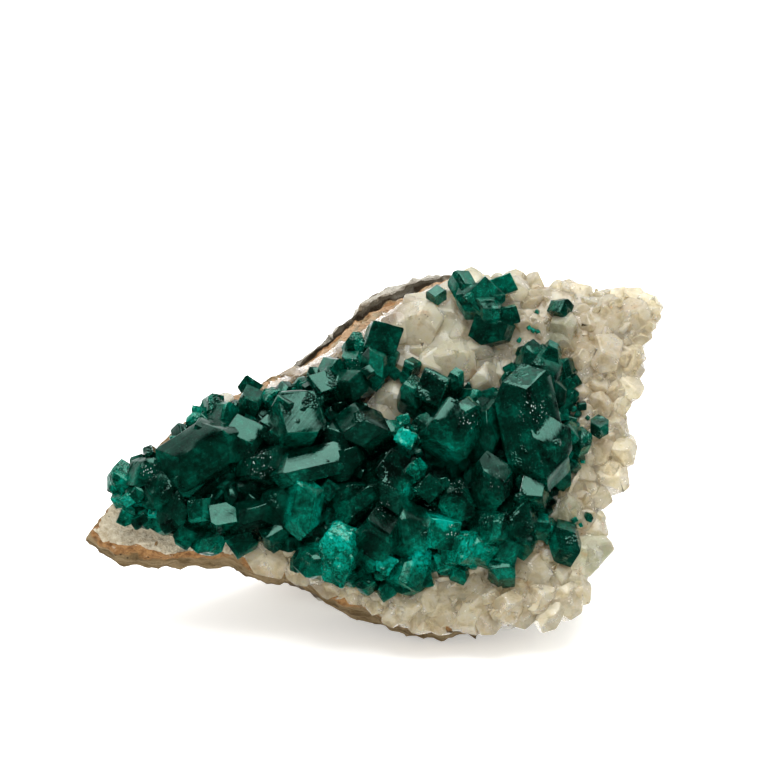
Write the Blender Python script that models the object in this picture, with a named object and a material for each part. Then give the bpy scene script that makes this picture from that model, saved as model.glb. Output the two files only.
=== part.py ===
"""Raw dioptase: dark green crystals on a quartz druse, on a loose piece of host rock.

Everything is shaped in the frame of the specimen's crystal face, in millimetres: x runs to the
right along the face, y runs up it and z stands out of it. An empty then leans that frame back,
so that the underside of the rock lies flat on the ground.
"""

import math
import random

import bmesh
import bpy
from mathutils import Matrix, Vector, geometry, noise

MM = 0.001
SEED = 7
SEED_ACROSS = 997       # makes the place of each crystal its own seed

FACE_SLOPE = 52.0       # degrees between the crystal face and the ground
FLOOR = -4.0            # height of the ground under the face frame's origin
GAP = 0.3               # space left between pieces that touch
SEAT_FRONT, SEAT_SIDE = 0.36, 0.42      # the same, over the slanting front and sides of the rock
BIG = 60.0              # block that a crystal is cut from
CLOSE = 1e-5            # corners nearer than this are one corner
ON_RIM = 0.01           # a corner nearer to an outline than this lies on it
ROW_PITCH = 0.87        # rows of a staggered grid, as a share of the spacing in a row
RING_ROOM = 0.45        # room inside a crust's ring of corners, as a share of the spacing

# Dioptase: six-sided prism with three sloping facets on each end
TIP_SLOPE = 51.0        # degrees between the crystal's axis and the normal of a tip facet
UNEVEN = 0.20           # share by which single facets grow faster or slower

# Quartz: six-sided prism with six sloping facets on its free end
QUARTZ_TIP_SLOPE = 52.0
QUARTZ_UNEVEN = 0.10
QUARTZ_ROOT = 4.0       # length of a quartz crystal hidden in the crust

# Host rock: a plate with a broken edge, a pale layer behind it, and the body it broke off with
ROCK_STEP = 5.6         # spacing of the corners on the broken surfaces
EDGE_WIDTH, EDGE_DROP = 1.2, 4.6
DOME_WIDTH, DOME_DROP = 8.0, 2.8
ROCK_GRAIN, ROCK_RELIEF = 6.0, 0.7
BODY_GRAIN, BODY_RELIEF = 8.0, 1.6
PLATE_BACK, PLATE_EDGE_BACK = -11.0, -9.2
LAYER_FRONT, LAYER_BACK = -10.5, -18.0
LAYER_EDGE_DROP, LAYER_THICK = 1.5, 4.5
CREVICE_WIDTH, CREVICE_DEPTH = 1.3, 2.6
CREVICE_NARROW, CREVICE_OPEN = 0.4, 0.8     # its outer side, as shares of the width
CRUMB = 0.002           # edges shorter than this are closed up after a cut

# Thickness of the crusts over the rock, at their edge and in the middle
CRUST_STEP = 6.5
CRUST_EDGE, CRUST_THICK, CRUST_RISE = 0.9, 2.6, 3.0
ROOT_EDGE, ROOT_THICK, ROOT_RISE = 1.2, 2.8, 3.0
CRUST_BASE = -9.0

PLATE_OUTLINE = [
    (-47.5, 18.5), (-45.5, 22), (-43, 24.5), (-41.5, 28.5), (-38, 32), (-34, 35.5), (-30, 39), (-26, 42),
    (-21, 44), (-17, 45.5), (-12, 48), (-8, 51), (-4.5, 54), (0, 57), (4, 59), (7.5, 61), (12, 62),
    (17.5, 61.5), (22.5, 60), (30, 58.8), (36, 57.8), (42, 57), (45.2, 56.2), (43.3, 52.8), (41.3, 49),
    (40.3, 45.2), (39.3, 42.4), (38.9, 38.5), (39.3, 35.4), (37.8, 32.2), (35.4, 28.6), (34.4, 24.6),
    (34.8, 20.5), (33.8, 17.4), (32.8, 15.2), (31.4, 13), (31.6, 10.8), (29.6, 8.8), (27, 7.2),
    (23, 4.6), (17, 3), (10.5, 2),
    (5.5, 2.5), (1.5, 4), (-2.5, 5), (-6.5, 7), (-9.5, 9.5), (-12.5, 11), (-17, 11.5), (-20.5, 12.5),
    (-24.5, 14), (-30, 14), (-34, 13.5), (-38, 14.5), (-41.5, 15), (-44, 16), (-46, 17.5),
]
CREVICE_FIRST, CREVICE_LAST = 9, 17     # corners of the plate that the crevice runs along

LAYER_OUTLINE = [
    (-18, 45.5), (-14.8, 48), (-11, 51.2), (-8.6, 53), (-6.3, 55.7), (-4.2, 58.1), (-1.6, 60.6),
    (1.6, 62.1), (4.8, 63.6), (7.4, 64.1), (10.5, 64.5), (15.5, 63.8), (21.5, 61.7), (30, 59.5), (36, 58),
    (40, 54),
    (36, 39), (30, 22.5), (17, 16), (4, 16), (-7, 22.5), (-15.5, 36),
]

CRUST_OUTLINE = [
    (-24, 15.5), (-22.5, 18), (-19, 20.5), (-14.5, 22), (-12.5, 26), (-14.5, 32), (-17, 36.5),
    (-18, 41), (-18, 43), (-13.5, 45.5), (-8, 48.5), (-3.5, 51.5), (1, 55), (5, 57.5), (10.5, 60),
    (17, 60), (22.5, 60.2), (30, 60), (36, 59), (42.5, 58.5), (47, 57), (45, 53), (43, 49),
    (42, 45.5), (41, 42.5), (40.5, 38.5), (41, 35.5), (39.5, 31.5), (37, 28), (36, 24.5), (36.5, 20.5),
    (35.5, 17), (34.5, 14.5), (33, 13), (33.5, 10), (31, 7.5), (28, 6), (23, 4), (14, 2.2),
    (10.5, 2.2), (6.5, 2.6), (2.5, 4), (-1, 5.7), (-6.5, 8.2), (-11.5, 11.2), (-16.5, 12.7), (-21, 14),
]

# The mass that the dioptase crystals grow from; it leaves a window of quartz at its middle
ROOT_OUTLINE = [
    (-41.5, 24.5), (-40.5, 28), (-36, 30.5), (-32, 33.5), (-27.5, 38.5), (-22, 40.5), (-18, 39.5),
    (-15.5, 40), (-12, 43), (-6, 45.5), (-3.5, 49), (0, 49), (2.5, 46), (2, 43.5), (-1, 41),
    (-2, 38.5), (0.5, 36.5), (4, 35), (6.5, 36.5), (6, 40), (5.5, 42.5), (10.5, 44), (15.5, 41.5),
    (20.5, 40.5), (23, 47.5), (28.5, 47.5), (31.5, 44), (33.5, 40.5), (31.5, 36.5), (34, 31.5),
    (31, 26), (28.5, 21.5), (26, 18), (20, 13.5), (13.5, 11), (7, 10), (1.5, 9), (-4, 10), (-10.5, 12),
    (-13.5, 15.5), (-18, 16.5), (-24, 16.5), (-31.5, 16.5), (-37, 19.5), (-41, 20.5),
]

# Body of the rock behind the plate: where it meets the ground, across and back from the origin,
# and where it meets the back of the plate, in the frame of the face
SOLE = [(-7, 30), (1, 18.5), (10.5, 9.8), (21.5, 13.4), (29, 19.5), (33, 26), (34, 33), (33, 42),
        (14, 47), (-6, 43)]
SOLE_DEPTH = 2.0        # the body is made this much too deep and then cut off on the ground
BODY_TOP = [(-37, 23, -10), (-36, 30, -10), (-24, 39, -11), (-8, 48, -12), (4, 55, -14), (16, 59, -16),
            (31, 57, -15), (40, 54, -10), (37, 38, -10), (33, 20, -10), (16, 9, -11), (-4, 13, -11),
            (-18, 18, -11), (-30, 20, -10)]

# Dioptase crystals: place across, up and out of the face, facet that is turned to the viewer,
# how far it leans to the right and upwards, direction that the axis points to over the face,
# width and length. Angles are in degrees.
MAIN_CLUSTER = [
    # left end
    (-41, 27, 0.9, "side", -5, -14, 90, 4.2, 5.5),
    (-36, 27, 2.6, "side", 0, 0, 20, 5, 7),
    (-34, 23.5, 4.4, "tip", -15, 10, 80, 4.6, 7.5),
    (-32, 21.5, 3.9, "side", 20, -14, 80, 4.2, 7),
    # great left crystal and the upper left edge
    (-28.5, 30.2, 4.6, "side", 3, -10, 37, 8.2, 16),
    (-20, 42, 1.6, "tip", 0, -5, 100, 4.2, 4.8),
    # lower left
    (-30, 25.5, 4, "tip", 25, -20, -10, 5.6, 6.5),
    (-28, 21, 4, "tip", -10, -5, 140, 5, 6),
    (-24.5, 19.5, 4.5, "tip", 5, 10, -35, 5, 6.5),
    (-27, 16.5, 0.7, "side", -10, -20, 15, 4.2, 5),
    (-21.5, 16.5, 2, "tip", 10, -20, 80, 5, 6),
    (-19.5, 20, 4.1, "side", 0, -10, 15, 5.6, 8),
    (-16.5, 17.5, 2.7, "side", 15, -20, -30, 4.6, 5.6),
    (-15, 22, 3.9, "side", 20, -15, 70, 5.4, 8),
    # centre left
    (-20.5, 32, 5.4, "tip", 0, 13, 105, 6.2, 9.5),
    (-12.5, 35, 6.9, "tip", 14, 16, 235, 9, 11.5),
    (-8, 41, 5.6, "side", -4, 18, 88, 5.2, 5.8),
    (-17.5, 28, 5.6, "side", -5, 0, 25, 6.2, 8.5),
    (-10, 27.3, 6.0, "side", 4, 27, 22, 6.4, 10.5),
    (-4.5, 28.5, 5.6, "side", 15, -20, 60, 5.6, 7.5),
    (-11.5, 21, 5.7, "side", -3, -14, 80, 6.2, 9),
    (-1.5, 33.5, 5.6, "side", 3, -16, -25, 6.4, 8.5),
    (-5.5, 32, 5, "side", -10, -10, 100, 5.6, 7),
    # upper middle, with the chain of small crystals above the window
    (0, 44.5, 3.9, "side", 8, -8, 90, 4.6, 6.8),
    (-3.5, 42, 3.9, "side", 10, -20, 45, 5.2, 6.5),
    (1, 49.5, 4, "side", 18, -22, -42, 6, 7.8),
    (9.5, 40.5, 5.3, "tip", -12, 0, 200, 7.6, 8),
    (6, 39.5, 4.2, "side", -15, -15, 90, 4.2, 6),
    (18, 39.5, 3.7, "tip", 5, -5, 150, 4.2, 4.6),
    (20.5, 39, 3.9, "side", 10, -5, 20, 4.2, 5.4),
    # centre
    (12, 33, 7.1, "side", -8, -32, 88, 8.4, 10.6),
    (17, 33.5, 4.6, "side", 15, -25, 70, 7, 10),
    (5, 32, 7.5, "tip", 5, -5, 20, 4.6, 5.2),
    (2.5, 24, 6.4, "side", -6, -30, 86, 7.4, 11),
    (8.5, 23.5, 8, "tip", 0, -12, 90, 5, 5.6),
    (13, 21.5, 6.7, "tip", 0, -32, 80, 7, 9),
    (18.5, 24.5, 7.1, "side", 0, -14, 90, 6, 9.4),
    # right, with the tallest crystal
    (25, 45.5, 5, "side", -12, -12, 78, 4.6, 6.4),
    (28, 45, 4.9, "side", 14, -14, 100, 4.2, 6.6),
    (26.5, 43, 4.4, "side", 0, -20, 90, 6.2, 7.5),
    (25, 33.5, 6.9, "side", -28, -8, 101, 8.6, 17.5),
    (28, 28.5, 6.6, "tip", 8, 9, 102, 6.6, 10),
    (26, 22.5, 5.9, "tip", -4, 15, -55, 4.6, 6.2),
    # lower middle, down to the lower edge
    (-5.5, 14, 5.2, "side", -8, -8, 102, 7.4, 10),
    (-9, 12.5, 2.9, "side", 0, -30, 10, 5.6, 7.4),
    (0.5, 16, 7.3, "side", 3, -14, 90, 6.6, 7.6),
    (-2.5, 21.5, 5.7, "side", 0, -10, 38, 4.2, 8.4),
    (10.5, 17, 6.4, "tip", 5, -10, 70, 7, 7.4),
    (14, 14.5, 5.2, "side", 10, -10, 35, 6.6, 8.4),
    (5.5, 17, 5.5, "side", 10, -20, 100, 6.6, 8),
    (18.5, 18, 5.1, "side", 5, -10, 20, 6.2, 7.6),
    (22.5, 19.5, 5.2, "side", 20, -15, 45, 6, 7.2),
    (21, 14.5, 3.9, "tip", 10, -10, 30, 5, 6),
    (20, 12, 2.9, "side", 0, -25, -55, 4.6, 6.2),
    (23.5, 16, 3.3, "side", 10, -15, 95, 4.6, 5.4),
    (2, 12, 5, "tip", -6, -6, 100, 4.6, 5.2),
    (5, 10.5, 4, "side", 0, 5, 15, 5, 6.4),
]

TOP_CLUSTER = [
    (14, 58.5, 3.3, "side", -20, 15, 60, 4, 5.6),
    (17.5, 56.5, 4, "tip", 0, -10, 90, 6.6, 8),
    (20.5, 58.5, 2.5, "tip", 10, -5, 70, 5, 5.6),
    (16, 55.5, 4, "side", -10, -15, 120, 4.6, 6.4),
    (18.5, 54.5, 4.9, "side", -5, 5, -60, 4, 6.4),
    (19, 50.8, 3.6, "side", 4, -30, 15, 5.4, 6.6),
    (21.5, 53.5, 3.5, "tip", 10, -15, 60, 3.8, 4.4),
]

SINGLES = {
    "dioptase_top_crystal": (10, 57, 2.6, "tip", 0, 25, -90, 3.4, 3.8),
    "dioptase_rim_crystal": (30, 54.5, 2.4, "side", 0, 8, 10, 4, 4.8),
    "dioptase_right_crystal": (36, 35, 2.6, "tip", 0, 37, -90, 3.3, 3.8),
    "dioptase_lower_wedge": (30.5, 16, 1.7, "side", 12, -10, -72, 4.2, 7.2),
}

# Quartz crystals: place on the face, lean to the right and upwards, width and height over the rock
QUARTZ_CRYSTALS = [
    # top edge
    (6.0, 52.5, -5, 5, 8.5, 5.4), (2.5, 51.0, -15, 0, 5.5, 4.4), (12.5, 53.5, 10, 5, 6.5, 3.9),
    (13.0, 47.0, 5, 0, 8.0, 6.4), (18.0, 43.0, 10, -5, 5.0, 5.4), (26.0, 52.5, 0, -5, 5.0, 4.0),
    (30.0, 50.0, 0, -12, 4.6, 6.2), (37.0, 54.5, 0, 10, 6.0, 4.4), (42.0, 54.0, 5, 10, 6.0, 4.0),
    # window in the dioptase, and the upper left
    (3.5, 39.5, 0, 0, 5.5, 4.4), (-12.5, 43.5, -10, 15, 5.0, 3.2),
    # right
    (35.5, 48.0, 0, 0, 6.4, 4.4), (40.5, 47.5, 15, 0, 5.0, 4.0), (38.5, 42.0, 10, 0, 6.0, 4.4),
    (38.5, 36.0, 10, 0, 5.0, 4.4), (37.5, 28.5, 15, -5, 4.8, 4.2), (31.0, 21.5, -5, 0, 6.6, 5.6),
    (34.0, 15.5, 12, -10, 6.4, 5.8),
    # lower edge, from the right to the left
    (30.0, 8.5, 12, -15, 6.4, 5.4), (26.0, 7.5, 0, -20, 5.4, 5.8), (21.0, 6.0, 0, -20, 6.2, 6.4),
    (15.5, 6.0, 0, -20, 6.2, 4.8), (11.0, 5.5, 5, -15, 6.0, 5.0), (5.0, 6.0, -10, -15, 5.6, 5.2),
    (7.5, 3.5, 0, -30, 5.0, 4.6), (-17.5, 14.5, 0, -10, 7.0, 3.2),
    (-12.0, 12.5, 10, -15, 4.6, 3.6), (-6.5, 9.4, -5, -10, 4.4, 3.2),
]
LEFT_QUARTZ = (-24.0, 39.0, -10, 10, 4.6, 4.6)

MATERIALS = {
    "host_rock": ((0.30, 0.20, 0.12), 0.85),
    "quartz": ((0.66, 0.60, 0.48), 0.30),
    "dioptase": ((0.004, 0.09, 0.065), 0.12),
}


# ---------------------------------------------------------------- outlines and broken surfaces

def rim_distance(outline, x, y):
    """Distance from a point to the nearest side of an outline."""
    point = Vector((x, y))
    best = BIG
    for start, end in zip(outline, outline[1:] + outline[:1]):
        foot, along = geometry.intersect_point_line(point, Vector(start), Vector(end))
        nearest = Vector(start).lerp(Vector(end), min(max(along, 0.0), 1.0))
        best = min(best, (point - nearest).length)
    return best


def inside(outline, x, y):
    """True where a point lies inside an outline, by counting the sides that a ray crosses."""
    crossings = 0
    for (x0, y0), (x1, y1) in zip(outline, outline[1:] + outline[:1]):
        if (y0 > y) != (y1 > y) and x < x0 + (y - y0) * (x1 - x0) / (y1 - y0):
            crossings += 1
    return crossings % 2 == 1


def outward(outline, index):
    """Unit vector away from a clockwise outline at one of its corners."""
    before = Vector(outline[index - 1])
    after = Vector(outline[(index + 1) % len(outline)])
    along = (after - before).normalized()
    return Vector((-along.y, along.x))


def offset(outline, distance):
    """The outline moved outwards, or inwards where the distance is negative."""
    moved = []
    for index, corner in enumerate(outline):
        moved.append(tuple(Vector(corner) + outward(outline, index) * distance))
    return moved


def split_sides(outline, longest):
    """The outline with extra corners, so that no side is longer than stated."""
    corners = []
    for start, end in zip(outline, outline[1:] + outline[:1]):
        start, end = Vector(start), Vector(end)
        parts = math.ceil((end - start).length / longest)
        for part in range(parts):
            corners.append(tuple(start.lerp(end, part / parts)))
    return corners


def grid_points(outline, step, margin):
    """Staggered points inside an outline that keep clear of its sides."""
    xs = [corner[0] for corner in outline]
    ys = [corner[1] for corner in outline]
    points = []
    rows = int((max(ys) - min(ys)) / (step * ROW_PITCH)) + 1
    columns = int((max(xs) - min(xs)) / step) + 2
    for row in range(rows):
        y = min(ys) + row * step * ROW_PITCH
        for column in range(columns):
            x = min(xs) + (column - 0.5 * (row % 2)) * step
            if inside(outline, x, y) and rim_distance(outline, x, y) > margin:
                points.append((x, y))
    return points


def slab(outline, step, ring, front, back, front_shift=0.0, side_shift=0.0):
    """Closed body between two height functions over an outline.

    Each function takes a place and its distance from the outline. The shifts grow the body
    without changing its corners, which gives a cutter that follows it at an even distance.
    """
    outline = split_sides(outline, step)
    inner = offset(outline, -ring)
    points = outline + inner + grid_points(outline, step, ring + step * RING_ROOM)
    count = len(outline)
    rim_sides = [(i, (i + 1) % count) for i in range(count)]
    flat = [Vector(point) for point in points]
    verts, _, faces, *_ = geometry.delaunay_2d_cdt(flat, rim_sides, [list(range(count))], 1, CLOSE)

    bm = bmesh.new()
    fronts, backs = [], []
    for vert in verts:
        x, y = vert.x, vert.y
        rim = rim_distance(outline, x, y)
        z_front, z_back = front(x, y, rim), back(x, y, rim)
        if rim < ON_RIM:
            index = min(range(count), key=lambda i: (Vector(outline[i]) - vert).length)
            x, y = vert + outward(outline, index) * side_shift
        fronts.append(bm.verts.new((x, y, z_front + front_shift)))
        backs.append(bm.verts.new((x, y, z_back - side_shift)))
    sides = set()
    for face in faces:
        if (verts[face[1]] - verts[face[0]]).cross(verts[face[2]] - verts[face[0]]) < 0:
            face = face[::-1]
        bm.faces.new([fronts[i] for i in face])
        bm.faces.new([backs[i] for i in reversed(face)])
        sides.update(zip(face, list(face[1:]) + [face[0]]))
    for a, b in sorted(sides):
        if (b, a) not in sides:
            bm.faces.new([fronts[b], fronts[a], backs[a], backs[b]])
    return bm


def rock_front(x, y, rim):
    """Height of the rock's front: a low dome with a steep broken edge."""
    edge = EDGE_DROP * (1 - min(rim / EDGE_WIDTH, 1))
    dome = DOME_DROP * (1 - min(rim / DOME_WIDTH, 1)) ** 2
    relief = ROCK_RELIEF * noise.noise(Vector((x, y, SEED)) / ROCK_GRAIN)
    return relief - edge - dome


def rock_level(x, y):
    """Height of the rock's front under any place on the face."""
    if not inside(PLATE_OUTLINE, x, y):
        return -DOME_DROP
    return rock_front(x, y, max(rim_distance(PLATE_OUTLINE, x, y), EDGE_WIDTH))


def crust_front(edge, thick, rise):
    """Height function of a crust that thickens from its edge inwards."""
    def front(x, y, rim):
        grown = min(rim / rise, 1) ** 0.5
        return rock_level(x, y) + edge + (thick - edge) * grown
    return front


def crust_back(x, y, rim):
    return CRUST_BASE


# ---------------------------------------------------------------- crystals

def cut_block(planes, centre):
    """The body that is left of a block when it is cut by planes around a centre."""
    bm = bmesh.new()
    bmesh.ops.create_cube(bm, size=BIG, matrix=Matrix.Translation(centre))
    for normal, distance in planes:
        cut = bmesh.ops.bisect_plane(
            bm,
            geom=bm.verts[:] + bm.edges[:] + bm.faces[:],
            plane_co=centre + normal * distance,
            plane_no=normal,
            clear_outer=True,
        )
        edges = [part for part in cut["geom_cut"] if isinstance(part, bmesh.types.BMEdge)]
        if edges:
            bmesh.ops.contextual_create(bm, geom=edges)
    bmesh.ops.recalc_face_normals(bm, faces=bm.faces[:])
    return bm


def facing(right, up):
    """Unit vector out of the face that leans to the right and upwards."""
    return Vector((math.tan(math.radians(right)), math.tan(math.radians(up)), 1)).normalized()


def leaning_axis(facet, right, up, heading):
    """Axis of a crystal from the facet turned to the viewer, and the direction around the axis."""
    normal = facing(right, up)
    ahead = Vector((math.cos(math.radians(heading)), math.sin(math.radians(heading)), 0))
    ahead = (ahead - normal * ahead.dot(normal)).normalized()
    slope = math.radians(90 if facet == "side" else TIP_SLOPE)
    axis = normal * math.cos(slope) + ahead * math.sin(slope)
    around = (normal - axis * normal.dot(axis)).normalized()
    return axis, around


def turned(vector, axis, degrees):
    return Matrix.Rotation(math.radians(degrees), 3, axis) @ vector


def dioptase_planes(crystal, rng):
    """Normals and distances of the twelve facets: six sides, and three on each end."""
    facet, right, up, heading, width, length = crystal
    axis, around = leaning_axis(facet, right, up, heading)
    slope = math.radians(TIP_SLOPE)
    if facet == "side":
        first_side, first_tip = 0, 30
    else:
        first_side, first_tip = 30, 0
    planes = []
    for k in range(6):
        side = turned(around, axis, first_side + 60 * k)
        planes.append((side, width / 2 * (1 + UNEVEN * rng.uniform(-1, 1))))
    for k in range(3):
        for end in (1, -1):
            flat = turned(around, axis, first_tip + 120 * k + (60 if end < 0 else 0))
            normal = axis * end * math.cos(slope) + flat * math.sin(slope)
            reach = length / 2 * math.cos(slope)
            planes.append((normal, reach * (1 + UNEVEN * rng.uniform(-1, 1))))
    return planes


def dioptase_crystal(entry, grown=0.0):
    """One crystal as a mesh; a grown one is larger all round, for cutting its seat."""
    x, y, z, *crystal = entry
    rng = random.Random(round(10 * x) * SEED_ACROSS + round(10 * y))
    centre = Vector((x, y, z))
    planes = [(normal, distance + grown) for normal, distance in dioptase_planes(crystal, rng)]
    return cut_block(planes, centre)


def quartz_crystal(entry, rng):
    """A six-sided prism that stands in the crust and ends in a point."""
    x, y, right, up, width, height = entry
    axis = facing(right, up)
    around = axis.orthogonal().normalized()
    turn = rng.uniform(0, 60)
    slope = math.radians(QUARTZ_TIP_SLOPE)
    centre = Vector((x, y, rock_level(x, y)))
    planes = [(-axis, QUARTZ_ROOT)]
    for k in range(6):
        side = turned(around, axis, turn + 60 * k)
        tip = axis * math.cos(slope) + side * math.sin(slope)
        planes.append((side, width / 2 * (1 + QUARTZ_UNEVEN * rng.uniform(-1, 1))))
        planes.append((tip, height * math.cos(slope) * (1 + QUARTZ_UNEVEN * rng.uniform(-0.5, 1))))
    return cut_block(planes, centre)


# ---------------------------------------------------------------- objects

def material(name):
    colour, roughness = MATERIALS[name]
    made = bpy.data.materials.get(name)
    if made is None:
        made = bpy.data.materials.new(name)
        made.use_nodes = True
        shader = made.node_tree.nodes["Principled BSDF"]
        shader.inputs["Base Color"].default_value = (*colour, 1)
        shader.inputs["Roughness"].default_value = roughness
        shader.inputs["Metallic"].default_value = 0.0
    return made


def new_object(name, bodies):
    """One object in metres from meshes in millimetres."""
    joined = bmesh.new()
    for body in bodies:
        mesh = bpy.data.meshes.new(name)
        body.to_mesh(mesh)
        body.free()
        joined.from_mesh(mesh)
        bpy.data.meshes.remove(mesh)
    bmesh.ops.scale(joined, vec=(MM, MM, MM), verts=joined.verts[:])
    mesh = bpy.data.meshes.new(name)
    joined.to_mesh(mesh)
    joined.free()
    made = bpy.data.objects.new(name, mesh)
    bpy.context.collection.objects.link(made)
    return made


def combine(target, other, operation, overlapping=False):
    """Apply a Boolean to an object and remove the other one."""
    cut = target.modifiers.new("cut", "BOOLEAN")
    cut.object = other
    cut.operation = operation
    cut.solver = "EXACT"
    cut.use_self = overlapping
    shape = bpy.data.meshes.new_from_object(target.evaluated_get(bpy.context.evaluated_depsgraph_get()))
    target.modifiers.clear()
    target.data = shape
    bpy.data.objects.remove(other)


def keep_largest(target):
    """Remove the crumbs that a cut has left, so that the object is one body."""
    bm = bmesh.new()
    bm.from_mesh(target.data)
    pending = set(bm.verts)
    pieces = []
    while pending:
        piece, queue = set(), [pending.pop()]
        while queue:
            vert = queue.pop()
            piece.add(vert)
            for edge in vert.link_edges:
                other = edge.other_vert(vert)
                if other in pending:
                    pending.remove(other)
                    queue.append(other)
        pieces.append(piece)
    largest = max(pieces, key=len)
    bmesh.ops.delete(bm, geom=[vert for vert in bm.verts if vert not in largest], context="VERTS")
    bmesh.ops.dissolve_degenerate(bm, dist=CRUMB * MM, edges=bm.edges[:])
    bm.to_mesh(target.data)
    bm.free()


def host_rock():
    """The front plate, the pale layer behind its crevice, and the body, broken off as one."""
    def plate_back(x, y, rim):
        depth = min(rim / DOME_WIDTH, 1)
        return PLATE_EDGE_BACK + (PLATE_BACK - PLATE_EDGE_BACK) * depth

    def layer_front(x, y, rim):
        return LAYER_FRONT - LAYER_EDGE_DROP * (1 - min(rim / EDGE_WIDTH, 1))

    def layer_back(x, y, rim):
        depth = min(rim / DOME_WIDTH, 1)
        relief = ROCK_RELIEF * noise.noise(Vector((x, y, -SEED)) / ROCK_GRAIN)
        thick = LAYER_THICK + (LAYER_FRONT - LAYER_BACK - LAYER_THICK) * depth
        return LAYER_FRONT - thick + relief

    rock = new_object("host_rock", [slab(PLATE_OUTLINE, ROCK_STEP, EDGE_WIDTH, rock_front, plate_back)])
    layer = new_object("layer", [slab(LAYER_OUTLINE, ROCK_STEP, EDGE_WIDTH, layer_front, layer_back)])
    combine(layer, new_object("crevice", [crevice()]), "DIFFERENCE")
    combine(rock, layer, "UNION")
    combine(rock, new_object("body", [rock_body()]), "UNION")
    trim_to_floor(rock)
    keep_largest(rock)
    rock.data.materials.append(material("host_rock"))
    return rock


def crevice():
    """A blade that runs behind the plate's upper left edge and opens between it and the layer."""
    run = range(CREVICE_FIRST, CREVICE_LAST + 1)
    near = [Vector(PLATE_OUTLINE[i]) for i in run]
    far = []
    for step, i in enumerate(run):
        reach = CREVICE_NARROW + CREVICE_OPEN * math.sin(math.pi * (step + 0.5) / len(run))
        far.append(near[step] + outward(PLATE_OUTLINE, i) * CREVICE_WIDTH * reach)
    near = [near[step] - outward(PLATE_OUTLINE, i) * CREVICE_WIDTH for step, i in enumerate(run)]
    outline = far + near[::-1]
    bm = bmesh.new()
    floor = LAYER_FRONT - CREVICE_DEPTH
    face = bm.faces.new([bm.verts.new((p.x, p.y, floor)) for p in outline])
    swept = bmesh.ops.extrude_face_region(bm, geom=[face])
    tops = [part for part in swept["geom"] if isinstance(part, bmesh.types.BMVert)]
    bmesh.ops.translate(bm, verts=tops, vec=(0, 0, CREVICE_DEPTH + BIG / 2))
    bmesh.ops.recalc_face_normals(bm, faces=bm.faces[:])
    return bm


def rock_body():
    """The broken lump of rock behind the face, which the specimen stands on."""
    lean_back = Matrix.Rotation(math.radians(-FACE_SLOPE), 3, "X")
    bm = bmesh.new()
    for x, y in SOLE:
        bm.verts.new(lean_back @ Vector((x, y, FLOOR - SOLE_DEPTH)))
    for corner in BODY_TOP:
        bm.verts.new(corner)
    hull = bmesh.ops.convex_hull(bm, input=bm.verts[:])
    inner = [part for part in hull["geom_interior"] if isinstance(part, bmesh.types.BMVert)]
    bmesh.ops.delete(bm, geom=inner, context="VERTS")
    bmesh.ops.subdivide_edges(bm, edges=bm.edges[:], cuts=2, use_grid_fill=True)
    bmesh.ops.triangulate(bm, faces=bm.faces[:])
    bmesh.ops.recalc_face_normals(bm, faces=bm.faces[:])
    for vert in bm.verts:
        relief = noise.noise(vert.co / BODY_GRAIN)
        vert.co += vert.normal * relief * BODY_RELIEF
    return bm


def trim_to_floor(target):
    """Cut an object off flat along the ground."""
    up = Matrix.Rotation(math.radians(-FACE_SLOPE), 3, "X") @ Vector((0, 0, 1))
    bm = bmesh.new()
    bm.from_mesh(target.data)
    cut = bmesh.ops.bisect_plane(
        bm,
        geom=bm.verts[:] + bm.edges[:] + bm.faces[:],
        plane_co=up * FLOOR * MM,
        plane_no=-up,
        clear_outer=True,
    )
    edges = [part for part in cut["geom_cut"] if isinstance(part, bmesh.types.BMEdge)]
    bmesh.ops.triangle_fill(bm, use_beauty=True, edges=edges, normal=-up)
    bmesh.ops.recalc_face_normals(bm, faces=bm.faces[:])
    bm.to_mesh(target.data)
    bm.free()


def rock_clearance():
    """The front plate grown all round by the gap, for cutting what sits on it."""
    return new_object("clearance", [
        slab(PLATE_OUTLINE, ROCK_STEP, EDGE_WIDTH, rock_front, crust_back, SEAT_FRONT, SEAT_SIDE),
    ])


def dioptase_bodies(entries, grown=0.0):
    return [dioptase_crystal(entry, grown) for entry in entries]


def root_slab(grown=0.0):
    front = crust_front(ROOT_EDGE, ROOT_THICK, ROOT_RISE)
    return slab(ROOT_OUTLINE, CRUST_STEP, EDGE_WIDTH, front, crust_back, grown, grown)


def dioptase_group(name, entries, root=None):
    """Crystals grown together, joined into one body and seated on the rock."""
    bodies = dioptase_bodies(entries)
    group = new_object(name, [root] if root else [bodies.pop(0)])
    if bodies:
        combine(group, new_object("crystals", bodies), "UNION", overlapping=True)
    combine(group, rock_clearance(), "DIFFERENCE")
    keep_largest(group)
    group.data.materials.append(material("dioptase"))
    return group


def quartz_druse():
    """The crust and its crystals as one body, with a seat for each dioptase crystal."""
    rng = random.Random(SEED)
    crust = slab(CRUST_OUTLINE, CRUST_STEP, EDGE_WIDTH,
                 crust_front(CRUST_EDGE, CRUST_THICK, CRUST_RISE), crust_back)
    druse = new_object("quartz_druse", [crust])
    points = [quartz_crystal(entry, rng) for entry in QUARTZ_CRYSTALS]
    combine(druse, new_object("points", points), "UNION", overlapping=True)
    return druse


def cut_seats(target):
    """Cut the rock and all the dioptase, grown by the gap, out of a piece of quartz."""
    combine(target, rock_clearance(), "DIFFERENCE")
    seats = [root_slab(GAP)]
    for entries in (MAIN_CLUSTER, TOP_CLUSTER, SINGLES.values()):
        seats += dioptase_bodies(entries, GAP)
    combine(target, new_object("seats", seats), "DIFFERENCE", overlapping=True)
    keep_largest(target)
    target.data.materials.append(material("quartz"))


def left_quartz():
    """A pale crystal of its own, among the dioptase at the upper left edge."""
    return new_object("quartz_left_crystal", [quartz_crystal(LEFT_QUARTZ, random.Random(SEED))])


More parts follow.
